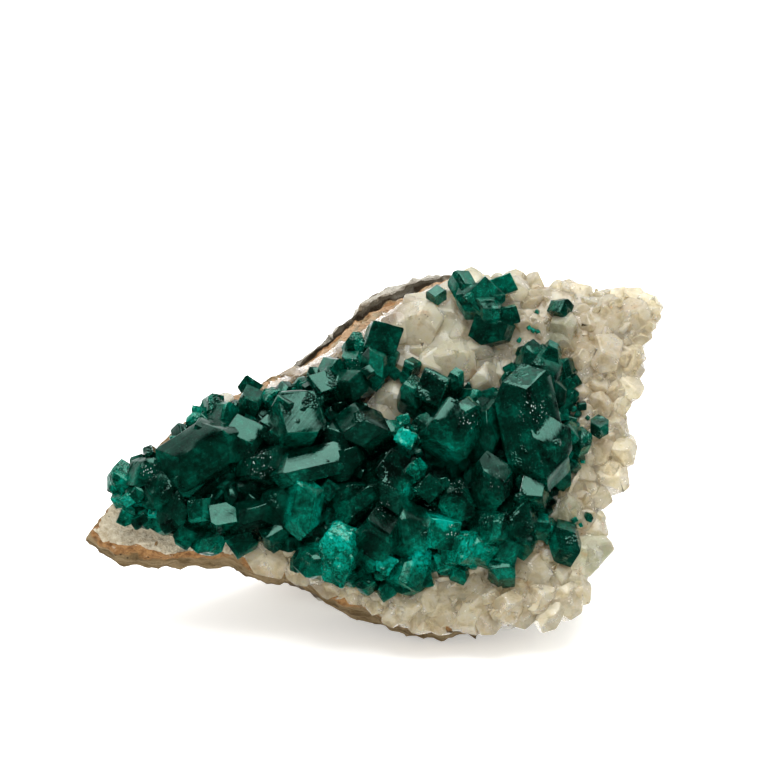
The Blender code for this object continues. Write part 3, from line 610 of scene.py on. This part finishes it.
TIP_SLOPE = 51.0              # degrees between a crystal's axis and the normal of a tip facet
UNEVEN = 0.20                 # share by which single facets grow faster or slower
CHIPS = 5                     # small extra facets that cut off a crystal's edges
CHIP_REACH = 1.12             # how far out the plane of a chip starts, as a share of the edge
SATELLITES = 3                # small crystals around the foot of a larger one
SEEDLINGS = 10                # shapes of small crystals
PRISM = 1.2                   # how much longer a crystal on its side is than in its entry
SEED_ACROSS = 997             # turns a crystal's place into the seed of its own random numbers
POLISHED = 0.15               # the chance number of a facet that is polished
LOOKS_OUT = 0.96              # a facet is the polished one where its normal agrees this well
BROKEN = 0.6                  # a crystal brighter than this is full of fractures and rough
BROKEN_GRID = 0.28
EDGE, EDGE_GROWTH = 0.03, 0.008       # width of a bevelled edge, and its rise with the crystal's
# kind, size and height of the roughness of a broken crystal
FRACTURES = (
    ("CLOUDS", 2.0, 0.7, {"noise_depth": 2}),
    ("VORONOI", 1.3, 0.5, {"weight_1": -1.0, "weight_2": 1.0}),
    ("CLOUDS", 0.5, 0.14, {"noise_depth": 2}),
)
ROOT_MIDDLE, ROOT_SIZE = (-3.5, 29, 0), (80, 44)
ROOT_RISE = 2.2               # height of the mass between the crystals over the rock
ROOT_SINK = 1.5               # how far it goes into the quartz
ROOT_DEEPEST = -3.0
ROOT_GRID = 0.6
DIOPTASE_SMOOTH = 28
# box on the face, distance between places, size of the small crystals, how bright they are
SMALL_CRYSTALS = ((-42, 8, 35, 50), 1.9, (1.3, 3.0), (0.0, 0.1, 0.2, 0.35, 0.6))

# Place across, up and out of the face; facet turned to the viewer and its lean to the right and
# upwards; direction of the axis over the face; width, length, and how bright the crystal is
MAIN_CLUSTER = [
    # left end
    (-41, 27, 0.9, "side", -5, -14, 90, 4.2, 5.5, 0.5),
    (-38, 29.5, 1.2, "tip", -20, 15, 60, 2.4, 3.5, 0.4),
    (-37.5, 27, 2.8, "side", 20, -5, 100, 2.4, 4, 0.3),
    (-41, 23.5, 0.7, "side", -25, -14, 130, 2.6, 3.2, 0.4),
    (-39.5, 23, 2.4, "tip", 0, -10, 80, 2.8, 3.5, 0.5),
    (-37.5, 24, 3.3, "side", 0, 5, 80, 3.2, 4, 0.2),
    (-40, 20.5, 1.6, "tip", 5, -20, 20, 3.4, 3.8, 0.4),
    (-36, 31, 1.6, "tip", -25, 20, 60, 2.6, 3.2, 0.3),
    (-36, 27, 2.6, "side", 0, 0, 20, 5, 7, 0.1),
    (-34, 23.5, 4.4, "tip", -15, 10, 80, 4.6, 7.5, 0.1),
    (-32, 21.5, 3.9, "side", 20, -14, 80, 4.2, 7, 0.0),
    (-35, 21, 3, "tip", 0, -5, 40, 3.2, 3.6, 0.7),
    # great left crystal and the upper left edge
    (-28.3, 30.0, 4.6, "side", 3, -29, 37, 8.2, 14, 0.1),
    (-26, 39, 1.2, "side", -15, 5, 35, 3.8, 5, 0.5),
    (-28.5, 38, 0.7, "tip", -20, 10, 40, 2.8, 3.2, 0.6),
    (-24, 37, 2.7, "side", 0, 0, 20, 4.2, 5.5, 0.4),
    (-20, 42, 1.6, "tip", 0, -5, 100, 4.2, 4.8, 0.3),
    (-20, 39, 2.7, "side", 5, -15, 100, 4, 5.5, 0.3),
    (-17, 40, 2.2, "side", 0, 0, -15, 3.6, 5.2, 0.6),
    # lower left
    (-30, 25.5, 4, "tip", 25, -20, -10, 5.6, 6.5, 0.4),
    (-28, 21, 4, "tip", -10, -5, 140, 5, 6, 0.3),
    (-24.5, 19.5, 4.5, "tip", 5, 10, -35, 5, 6.5, 0.3),
    (-37, 20, 1.4, "side", 0, -20, -20, 2.6, 4, 0.4),
    (-34, 19, 2.1, "side", 10, -20, 10, 3.6, 4.6, 0.3),
    (-30.5, 17.5, 1.7, "tip", 0, -25, 100, 4.2, 5, 0.3),
    (-27, 16.5, 0.7, "side", -10, -20, 15, 4.2, 5, 0.4),
    (-21.5, 16.5, 2, "tip", 10, -20, 80, 5, 6, 0.3),
    (-19.5, 20, 4.1, "side", 0, -10, 15, 5.6, 8, 0.0),
    (-16.5, 17.5, 2.7, "side", 15, -20, -30, 4.6, 5.6, 0.2),
    (-15, 22, 3.9, "side", 20, -15, 70, 5.4, 8, 0.1),
    (-20.5, 25, 3.4, "side", -10, 5, -20, 2.8, 4.6, 0.1),
    # centre left
    (-20.5, 32, 5.4, "tip", 0, 13, 105, 6.2, 9.5, 0.2),
    (-12.5, 35, 6.9, "tip", 14, 16, 235, 9, 11.5, 0.1),
    (-14.5, 37, 9.2, "side", 0, 13, 85, 3.4, 4.8, 0.2),
    (-8.2, 41, 7.0, "tip", 0, 15, 70, 5.6, 6.2, 0.1),
    (-7, 44.5, 3.4, "side", 0, 5, 5, 3.6, 5.4, 0.3),
    (-11, 41.5, 3.3, "tip", 10, -10, 70, 2.2, 3, 0.5),
    (-17.5, 28, 5.6, "side", -5, 0, 25, 6.2, 8.5, 0.0),
    (-10.6, 27.6, 6.6, "side", 4, 24, 20, 5.6, 12.5, 0.05),
    (-4.5, 28.5, 5.6, "side", 15, -20, 60, 5.6, 7.5, 0.0),
    (-11.5, 21, 5.7, "side", -3, -14, 80, 6.2, 9, 0.45),
    (-7.5, 24, 5.4, "tip", 15, -14, 100, 3.4, 4.2, 0.4),
    (-1.5, 33.5, 5.6, "side", 3, -16, -25, 6.4, 8.5, 0.0),
    (-5.5, 32, 5, "side", -10, -10, 100, 5.6, 7, 0.0),
    # upper middle, with the chain of small crystals above the window
    (0, 44.5, 3.9, "side", 8, -8, 90, 4.6, 6.8, 0.3),
    (-1, 43, 6.4, "tip", -5, 14, 80, 2.4, 2.8, 0.2),
    (-3.5, 45.5, 3.6, "side", -10, 0, 120, 3.6, 4.8, 0.2),
    (-3.5, 42, 3.9, "side", 10, -20, 45, 5.2, 6.5, 0.1),
    (1, 49.5, 4, "tip", 15, -12, -60, 6.2, 7.5, 0.2),
    (-3.5, 49, 2.1, "side", -20, 10, 50, 2.6, 4.4, 0.3),
    (3, 44, 2.9, "tip", 0, -10, 90, 2.8, 3.2, 0.4),
    (6, 44.5, 3.3, "side", -18, 10, 90, 3.2, 3.8, 0.3),
    (5, 43, 2.9, "tip", -10, 0, 60, 2.6, 3, 0.5),
    (9.5, 40.5, 5.3, "tip", -12, 0, 200, 7.6, 8, 0.1),
    (6, 39.5, 4.2, "side", -15, -15, 90, 4.2, 6, 0.2),
    (13, 42, 4.2, "side", -20, -14, 90, 2.8, 4.8, 0.2),
    (15.5, 39.5, 3.6, "side", 0, 5, 10, 3.6, 5.2, 0.5),
    (18, 39.5, 3.7, "tip", 5, -5, 150, 4.2, 4.6, 0.4),
    (20.5, 39, 3.9, "side", 10, -5, 20, 4.2, 5.4, 0.5),
    # centre
    (12, 33, 7.1, "side", -8, -32, 88, 8.4, 11.5, 0.15),
    (17, 33.5, 4.6, "side", 15, -25, 70, 7, 10, 0.1),
    (5, 32, 7.5, "tip", 5, -5, 20, 4.6, 5.2, 0.9),
    (4.5, 35.5, 5.1, "tip", 10, 0, 60, 2.6, 3.4, 0.7),
    (2.5, 33.5, 5.8, "side", -10, 12, 70, 2.8, 4.4, 0.3),
    (2.5, 24, 6.4, "side", -6, -30, 86, 7.4, 11, 0.0),
    (6.5, 26.5, 8.2, "side", 10, -8, 75, 3.6, 5.2, 0.6),
    (8.5, 23.5, 8, "tip", 0, -12, 90, 5, 5.6, 0.2),
    (13, 21.5, 6.7, "tip", 0, -32, 80, 7, 9, 0.1),
    (18.5, 24.5, 7.1, "side", 0, -14, 90, 6, 9.4, 0.05),
    # right, with the tallest crystal
    (25, 45.5, 5, "side", -12, -12, 78, 4.6, 6.4, 0.2),
    (28, 45, 4.9, "side", 14, -14, 100, 4.2, 6.6, 0.2),
    (26.5, 43, 4.4, "side", 0, -20, 90, 6.2, 7.5, 0.1),
    (22, 44, 3.5, "tip", -20, 10, 70, 2.8, 3.2, 0.4),
    (22, 42, 3.9, "side", -30, -10, 50, 3.4, 5, 0.2),
    (30.5, 44.5, 3.6, "side", 20, -15, 50, 3.6, 4.6, 0.2),
    (31, 42, 3.7, "tip", 5, -8, 80, 3, 3.4, 0.4),
    (31.5, 40.5, 3.1, "tip", 8, -20, 100, 2.8, 3.6, 0.3),
    (28.5, 40.5, 3.9, "side", 25, -15, 90, 5.2, 7, 0.0),
    (25, 33.5, 6.9, "side", -28, -8, 101, 8.6, 17.5, 0.1),
    (27.6, 30.5, 7.8, "tip", 10, 14, 102, 6.4, 10, 0.1),
    (31, 33.5, 4.2, "side", 22, -12, 80, 3.8, 5.4, 0.3),
    (33, 32.5, 2.7, "side", -18, 5, 80, 2.8, 5.2, 0.4),
    (30, 27.5, 2.9, "side", 30, -10, 100, 3.2, 6, 0.2),
    (25.6, 23.2, 6.8, "tip", -4, 15, -55, 5.6, 6.4, 0.1),
    (23.5, 25, 6.2, "tip", 15, 0, 100, 2.2, 3.6, 0.2),
    # lower middle, down to the lower edge
    (-5.5, 14, 5.2, "side", -8, -8, 102, 7.4, 10, 0.7),
    (-9, 12.5, 2.9, "side", 0, -30, 10, 5.6, 7.4, 0.3),
    (-12, 13, 1.3, "side", -10, -20, 30, 2.8, 4.4, 0.3),
    (0.5, 16, 7.3, "side", 3, -14, 90, 6.6, 7.6, 0.0),
    (-2.5, 21.5, 5.7, "side", 0, -10, 38, 4.2, 8.4, 0.1),
    (-4, 23, 4.8, "side", -10, -20, 30, 5.2, 7, 0.1),
    (10.5, 17, 6.4, "tip", 20, -25, 40, 7, 8.4, 0.35),
    (7, 13, 5.3, "side", 5, -10, 80, 3.6, 6.4, 0.8),
    (14, 14.5, 5.2, "side", 10, -10, 35, 6.6, 8.4, 0.7),
    (5.5, 17, 5.5, "side", 10, -20, 100, 6.6, 8, 0.1),
    (11, 13, 4.4, "tip", 0, -20, 150, 5, 6, 0.65),
    (18.5, 18, 5.1, "side", 5, -10, 20, 6.2, 7.6, 0.3),
    (17, 14.5, 4.4, "side", 10, -20, -20, 5.4, 7, 0.5),
    (22.5, 19.5, 5.2, "side", 20, -15, 45, 6, 7.2, 0.1),
    (21, 14.5, 3.9, "tip", 10, -10, 30, 5, 6, 0.3),
    (20, 12, 2.9, "side", 0, -25, -55, 4.6, 6.2, 0.3),
    (23.5, 16, 3.3, "side", 10, -15, 95, 4.6, 5.4, 0.4),
    (26, 18.5, 3.1, "side", 15, -10, 120, 4, 5.2, 0.5),
    (28, 18, 1.8, "side", 0, -10, 80, 3, 4.8, 0.6),
    (2, 12, 5, "tip", -6, -6, 100, 4.6, 5.2, 0.7),
    (-0.5, 12.5, 3.9, "side", -15, -20, 60, 3.4, 4.6, 0.5),
    (-4.5, 11, 2.1, "side", 0, -20, -25, 3.6, 5.4, 0.3),
    (-1.5, 9.5, 1.9, "side", 0, -20, -20, 3.6, 5.2, 0.4),
    (2, 8.5, 1.7, "tip", 0, -25, 80, 3.6, 4.6, 0.4),
    (5, 10.5, 4, "side", 0, 5, 15, 5, 6.4, 0.4),
    (5.5, 9, 2.4, "side", 5, -20, 20, 3.2, 5.2, 0.3),
    (8, 10, 2.5, "tip", 5, -20, 60, 2.8, 3.6, 0.4),
    (13.5, 11, 2.5, "side", 5, -10, 100, 3, 4.4, 0.5),
]

# Outline of the mass that the crystals grow from, with a window of bare quartz at its middle
ROOT_OUTLINE = [
    (-41.5, 24.5), (-40.5, 28), (-36, 30.5), (-32, 33.5), (-27.5, 38.5), (-22, 40.5), (-18, 39.5),
    (-15.5, 40), (-12, 43), (-6, 45.5), (-3.5, 49), (0, 49), (2.5, 46), (2, 43.5), (-1, 41),
    (-2, 38.5), (0.5, 36.5), (4, 35), (6.5, 36.5), (6, 40), (5.5, 42.5), (10.5, 44), (15.5, 41.5),
    (20.5, 40.5), (23, 47.5), (28.5, 47.5), (31.5, 44), (33.5, 40.5), (31.5, 36.5), (34, 31.5),
    (31, 26), (28.5, 21.5), (26, 18), (20, 13.5), (13.5, 11), (7, 10), (1.5, 9), (-4, 10), (-10.5, 12),
    (-13.5, 15.5), (-18, 16.5), (-24, 16.5), (-31.5, 16.5), (-37, 19.5), (-41, 20.5),
]


def inside(outline, x, y):
    """True where a place lies inside an outline."""
    crossings = 0
    for (x0, y0), (x1, y1) in zip(outline, outline[1:] + outline[:1]):
        if (y0 > y) != (y1 > y) and x < x0 + (y - y0) * (x1 - x0) / (y1 - y0):
            crossings += 1
    return crossings % 2 == 1


def leaning_axis(facet, right, up, heading):
    """Axis of a crystal from the facet turned to the viewer, and the direction around the axis."""
    normal = facing(right, up)
    ahead = Vector((math.cos(math.radians(heading)), math.sin(math.radians(heading)), 0))
    ahead = (ahead - normal * ahead.dot(normal)).normalized()
    slope = math.radians(90 if facet == "side" else TIP_SLOPE)
    axis = normal * math.cos(slope) + ahead * math.sin(slope)
    around = (normal - axis * normal.dot(axis)).normalized()
    return axis, around


def dioptase_planes(axis, around, facet, width, length, rng):
    """Planes of a crystal's facets: six sides, three on each tip, and a few that chip its edges."""
    slope = math.radians(TIP_SLOPE)
    first_side, first_tip = (0, 30) if facet == "side" else (30, 0)
    planes = []
    for k in range(6):
        side = turned(around, axis, first_side + 60 * k)
        planes.append((side, width / 2 * (1 + UNEVEN * rng.uniform(-1, 1))))
    for k in range(3):
        for end in (1, -1):
            flat = turned(around, axis, first_tip + 120 * k + (60 if end < 0 else 0))
            normal = axis * end * math.cos(slope) + flat * math.sin(slope)
            planes.append((normal, length / 2 * math.cos(slope) * (1 + UNEVEN * rng.uniform(-1, 1))))
    for _ in range(CHIPS):
        (one, near), (other, far) = rng.sample(planes[:12], 2)
        if one.dot(other) > -0.2:
            normal = (one + other * rng.uniform(0.4, 1)).normalized()
            reach = (near * one.dot(normal) + far * other.dot(normal)) / (1 + one.dot(other))
            planes.append((normal, reach * CHIP_REACH * rng.uniform(0.80, 0.96)))
    return planes


def mark_facets(crystal, axis, glow, edge, rng, polished=None):
    """Note on each facet its brightness, raised on thin edge faces as a painted highlight, its own
    chance number and the direction across its grain.

    A low chance number makes a facet glossy, as is the one that is named here as polished.
    """
    mesh = crystal.data
    bright = mesh.attributes.new("glow", "FLOAT", "FACE")
    chance = mesh.attributes.new("chance", "FLOAT", "FACE")
    across = mesh.attributes.new("across", "FLOAT_VECTOR", "FACE")
    for face in mesh.polygons:
        rim = sum((mesh.vertices[a].co - mesh.vertices[b].co).length for a, b in face.edge_keys)
        # thin faces of the bevelled edges are brighter: a painted highlight along the edges
        bright.data[face.index].value = glow + (0.2 if face.area < rim * edge * 0.5 else 0)
        chance.data[face.index].value = rng.random()
        if polished and face.normal.dot(polished) > LOOKS_OUT:
            chance.data[face.index].value = POLISHED
        side = axis.cross(face.normal)
        across.data[face.index].vector = side.normalized() if side.length > 0.01 else (1, 0, 0)


def dioptase_crystal(entry):
    """One crystal, cut to its place in the group."""
    x, y, z, facet, right, up, heading, width, length, glow = entry
    rng = random.Random(round(10 * x) * SEED_ACROSS + round(10 * y))
    axis, around = leaning_axis(facet, right, up, heading)
    length *= PRISM if facet == "side" and width > 4 else 1
    planes = dioptase_planes(axis, around, facet, width, length, rng)
    edge = EDGE + EDGE_GROWTH * width
    crystal = cut_crystal(Vector((x, y, z)), planes, (width + length) * 2, edge)
    if glow >= BROKEN:
        apply_modifier(crystal, "REMESH", mode="VOXEL", voxel_size=BROKEN_GRID)
        for kind, size, height, settings in FRACTURES:
            relief(crystal, kind, size, height, **settings)
        mark_facets(crystal, axis, glow, 0, rng)
        return crystal
    mark_facets(crystal, axis, glow, edge, rng, facing(right, up) if up > 5 else None)
    if width >= 3:
        bpy.ops.object.mode_set(mode="EDIT")
        bpy.ops.mesh.select_all(action="SELECT")
        bpy.ops.mesh.quads_convert_to_tris()
        bpy.ops.mesh.subdivide(number_cuts=3 if width >= 7 else 2)
        bpy.ops.object.mode_set(mode="OBJECT")
        relief(crystal, "CLOUDS", 0.35 * width, 0.06 * width, noise_depth=2)
    return crystal


rng = random.Random(23)
seedlings = []
for _ in range(SEEDLINGS):
    axis, around = leaning_axis("side", 0, 0, 90)
    planes = dioptase_planes(axis, around, "side", 1.0, rng.uniform(1.1, 1.7), rng)
    seedlings.append(cut_crystal(Vector((0, 0, 0)), planes, 6, EDGE))
    seedlings[-1].name = "dioptase_seedling"
    mark_facets(seedlings[-1], axis, 0.0, EDGE, rng)
    put_aside(seedlings[-1])


def seedling(middle, size, glow):
    """A small crystal, turned at random."""
    turn = rng.uniform(0, math.tau)
    spin = Matrix.Rotation(turn, 4, Vector([rng.gauss(0, 1) for _ in range(3)]).normalized())
    piece = place_copy(rng.choice(seedlings), Matrix.Translation(middle) @ spin @ Matrix.Scale(size, 4))
    for item in piece.data.attributes["glow"].data:
        item.value += glow
    return piece


def crystal_group(entries):
    """Crystals, each with the small ones that grew askew around its foot."""
    group = []
    for entry in entries:
        group.append(put_aside(dioptase_crystal(entry)))
        x, y, z, _, right, up, _, width, _, glow = entry
        normal = facing(right, up)
        for _ in range(SATELLITES if width >= 4 else 0):
            aside = turned(normal.orthogonal().normalized(), normal, rng.uniform(0, 360))
            sunk = normal * width * rng.uniform(0.05, 0.35)
            middle = Vector((x, y, z)) + aside * width * rng.uniform(0.4, 0.55) - sunk
            if inside(ROOT_OUTLINE, middle.x, middle.y):
                group.append(seedling(middle, width * rng.uniform(0.3, 0.5), glow * 0.4))
    return group


crystals = crystal_group(MAIN_CLUSTER)

box, step, sizes, glows = SMALL_CRYSTALS
for x, y in scattered(rng, box, step):
    if not inside(ROOT_OUTLINE, x, y):
        continue
    middle = (x, y, rock_level(x, y, ROOT_DEEPEST) + ROOT_RISE + rng.uniform(0, 0.6))
    crystals.append(seedling(middle, rng.uniform(*sizes), rng.choice(glows)))

bpy.ops.object.select_all(action="DESELECT")
wide, high = ROOT_SIZE
bpy.ops.mesh.primitive_grid_add(x_subdivisions=wide, y_subdivisions=high, size=1, location=ROOT_MIDDLE)
root = bpy.context.object
root.scale = (wide, high, 1)
bpy.ops.object.transform_apply(location=True, rotation=True, scale=True)
bpy.ops.object.mode_set(mode="EDIT")
bpy.ops.mesh.select_all(action="DESELECT")
bpy.ops.object.mode_set(mode="OBJECT")
for vert in root.data.vertices:
    vert.select = not inside(ROOT_OUTLINE, vert.co.x, vert.co.y)
bpy.ops.object.mode_set(mode="EDIT")
bpy.ops.mesh.delete(type="VERT")
bpy.ops.mesh.select_all(action="SELECT")
bpy.ops.mesh.extrude_region_move(TRANSFORM_OT_translate={"value": (0, 0, 1)})
bpy.ops.object.mode_set(mode="OBJECT")
for vert in root.data.vertices:
    level = rock_level(vert.co.x, vert.co.y, ROOT_DEEPEST)
    if vert.co.z > 0.5:
        vert.co.z = level + ROOT_RISE + 0.7 * noise.noise(vert.co * 0.8)
    else:
        vert.co.z = level - ROOT_SINK
bpy.ops.object.mode_set(mode="EDIT")
bpy.ops.mesh.select_all(action="SELECT")
bpy.ops.mesh.normals_make_consistent(inside=False)
bpy.ops.object.mode_set(mode="OBJECT")
apply_modifier(root, "REMESH", mode="VOXEL", voxel_size=ROOT_GRID)
relief(root, "CLOUDS", 1.3, 0.8, noise_depth=2)
mark_facets(root, Vector((0, 1, 0)), 0.0, 0, rng)
grow_together(root, crystals, "dioptase_crystals")
bpy.ops.object.shade_smooth_by_angle(angle=math.radians(DIOPTASE_SMOOTH))

# places on the face where white glints are painted on broken facets, and their reach
GLINT_SPOTS = [
    (13.2, 24.4, 2.4), (12.0, 16.6, 1.8), (25.2, 36.0, 3.0), (-18.0, 27.9, 3.4), (9.4, 43.2, 1.6),
    (-3.5, 44.8, 1.6), (20.0, 24.0, 2.0), (-36.0, 27.0, 2.0), (1.0, 20.0, 1.8), (15.0, 34.0, 2.0),
]

# places where fractures inside the crystals shine, their reach and their strength
FRACTURED = [
    (11.3, 18.7, 4.5, 0.50), (7.2, 13.5, 4.0, 0.40), (-6.4, 16.4, 5.5, 0.30), (4.8, 23.4, 2.6, 0.45),
    (4.7, 32.1, 2.6, 0.30), (12.1, 29.8, 3.2, 0.25), (-11.6, 24.5, 4.0, 0.15), (1.6, 12.3, 4.0, 0.20),
    (-40.0, 24.0, 5.0, 0.20), (16.0, 14.0, 4.0, 0.20),
]

gem, shader, place = new_material(
    "dioptase", IOR=1.66, Transmission_Weight=0.45, Specular_IOR_Level=0.36,
    Specular_Tint=(0.42, 1.0, 0.80, 1))
glow = place.node("Attribute", {"attribute_name": "glow"}, None, 2)
chance = place.node("Attribute", {"attribute_name": "chance"}, None, 2)
across = place.node("Attribute", {"attribute_name": "across"}, None, 1)
cloud = place.noise(0.35, 5, 0.6)
fine = place.noise(1.2, 8, 0.7, 0.5)
lines = place.node("VectorMath", {"operation": "DOT_PRODUCT"}, {0: place, 1: across}, 1)
grooves = lines.node("TexNoise", {"noise_dimensions": "1D"}, {
    "W": lines, "Scale": 2.2, "Detail": 5, "Roughness": 0.7})
flat = place.node("VectorMath", {"operation": "MULTIPLY"}, {0: place, 1: (1, 1, 0)})
fractured = 0.0
for x, y, size, strength in FRACTURED:
    fractured = fractured + spot(flat, x, y, size, 0) * strength
# each facet is a little lighter or darker than the next; broken crystals are bright and mottled
lively = glow.maths("POWER", glow, 0.7) * 0.45 + fractured
mottled = (fine.step(0.28, 0.72) - 0.5) * (lively * 0.7 + 0.16)
tone = lively + mottled + cloud.step(0.3, 0.7) * 0.26 + chance * 0.24 + grooves.step(0.4, 0.7) * 0.07
colour = tone.ramp(
    (0.12, (0.0, 0.002, 0.001)),
    (0.38, (0.0, 0.027, 0.016)),
    (0.60, (0.0, 0.11, 0.068)),
    (0.82, (0.0, 0.26, 0.175)),
    (1.0, (0.0, 0.43, 0.33)),
)
# fine bright dots of painted sparkle, and painted white glints where the light would catch broken facets
sparkle_dots = place.cells(4.2).step(0.28, 0.14) * place.noise(2.0, 3).step(0.55, 0.63)
colour = (sparkle_dots * 0.5).mix(colour, (0.10, 0.42, 0.33))
# painted glints: white flecks where the light would catch broken facets
painted_glints = 0.0
for x, y, size in GLINT_SPOTS:
    painted_glints = painted_glints + spot(flat, x, y, size, size * 0.3)
glint_flecks = place.squash(2.2, 1.2, 1.2).cells(1.6).step(0.30, 0.18)
painted_glints = painted_glints * glint_flecks * place.noise(1.1, 3).step(0.48, 0.56)
colour = painted_glints.mix(colour, (0.72, 0.90, 0.84))
glints = place.cells(2.3) * place.noise(0.2, 2).step(0.58, 0.66)
matt = chance.step(0.5, 0.9) * 0.16 + fine.step(0.6, 0.8) * 0.10
wire(shader, Base_Color=colour, Roughness=0.035 + matt,
     Normal=place.bump(fine * 0.5 + grooves * 0.6 + glints * 9, 0.00003))
absorb(gem, (0.0, 0.80, 0.74), 2500)


def finish_dioptase(piece, name, node):
    """Name a green piece, give it its material, and let it ride and stand in for its solid."""
    piece.name = name
    piece.data.transform(FACE)
    piece.data.materials.clear()
    piece.data.materials.append(gem)
    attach(piece, "root")
    if node:
        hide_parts(node)


finish_dioptase(root, "dioptase_crystals", "dioptase_main_cluster")


# ------------------------------------------------------------ top dioptase cluster
# A group of dark stout crystals that stands on the quartz at the top edge, apart from the mass.

TOP_CLUSTER = [
    (14, 58.5, 3.3, "side", -20, 15, 60, 4, 5.6, 0.35),
    (17.5, 56.5, 4, "tip", 0, -10, 90, 6.6, 8, 0.3),
    (20.5, 58.5, 2.5, "tip", 10, -5, 70, 5, 5.6, 0.4),
    (16, 55.5, 4, "side", -10, -15, 120, 4.6, 6.4, 0.25),
    (18.5, 54.5, 4.9, "side", -5, 5, -60, 4, 6.4, 0.25),
    (19, 50.8, 3.6, "side", 4, -30, 15, 5.4, 6.6, 0.2),
    (21.5, 53.5, 3.5, "tip", 10, -15, 60, 3.8, 4.4, 0.3),
]

crystals = crystal_group(TOP_CLUSTER)
cluster = crystals.pop(0)
bpy.context.collection.objects.link(cluster)
grow_together(cluster, crystals, "top_cluster")
finish_dioptase(cluster, "dioptase_top_group", "dioptase_top_cluster")


# ------------------------------------------------------------ single dioptase crystals
# Lone crystals that sit in the quartz around the mass, each half sunk in the crust.

SINGLES = {
    "top": (10, 57, 2.6, "tip", 0, 25, -90, 3.4, 3.8, 0.3),
    "rim": (30, 54.5, 2.4, "side", 0, 8, 10, 4, 4.8, 0.1),
    "right": (36, 35, 2.6, "tip", 0, 37, -90, 3.3, 3.8, 0.3),
}

for name, entry in SINGLES.items():
    finish_dioptase(dioptase_crystal(entry), "dioptase_" + name, "dioptase_" + name + "_crystal")


# ------------------------------------------------------------ lower dioptase wedge
# A narrow leaning crystal in the quartz near the lower right edge.

wedge = dioptase_crystal((30.5, 16, 1.7, "side", 12, -10, -72, 4.2, 7.2, 0.2))
finish_dioptase(wedge, "dioptase_wedge", "dioptase_lower_wedge")


# ------------------------------------------------------------ quartz crystal at the left
# One stubby clear quartz crystal that leans on the upper left edge of the green mass.

LEFT_QUARTZ = (-24.0, 39.0, -10, 10, 4.6, 4.6)

rng = random.Random(5)
model = quartz_point(rng, "quartz_left")
x, y, right, up, width, height = LEFT_QUARTZ
pointing = facing(right, up).to_track_quat("Z", "X").to_matrix().to_4x4()
level = surface_at(cad_rock, x, y)[0]
size = Matrix.Diagonal((width, width, height, 1))
model.data.transform(Matrix.Translation((x, y, level)) @ pointing @ size)
model.data.transform(FACE)
model.data.materials.append(quartz)
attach(model, "root")
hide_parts("quartz_left_crystal")


# ------------------------------------------------------------ dioptase crumbs
# Bright specks and tiny crystals of dioptase that grew loose from the mass, each stuck in the
# skin of the quartz around it.

# place on the face, width, brightness
CRUMBS = [
    (33.2, 38.6, 1.7, 0.2), (32.6, 37.2, 1.0, 0.5), (34.1, 36.7, 0.8, 0.7), (26.1, 54.4, 0.8, 0.8),
    (24.8, 51.6, 0.9, 0.9), (25.5, 51.2, 0.8, 0.9), (26.2, 51.0, 0.7, 0.8), (23.2, 49.6, 0.7, 0.8),
    (33.4, 29.8, 0.9, 0.7), (31.9, 19.8, 1.2, 0.7), (33.0, 19.3, 1.0, 0.8), (34.2, 20.6, 1.3, 0.5),
    (33.6, 33.6, 1.3, 0.4), (32.4, 35.4, 1.2, 0.3),
]

skin_of_quartz = shell_of(crust.data)
for x, y, width, glow in CRUMBS:
    crumb = seedling((x, y, surface_at(skin_of_quartz, x, y)[0] + width * 0.1), width, glow)
    bpy.context.collection.objects.link(crumb)
    finish_dioptase(crumb, "dioptase_crumb", None)
for model in seedlings:
    bpy.data.objects.remove(model)
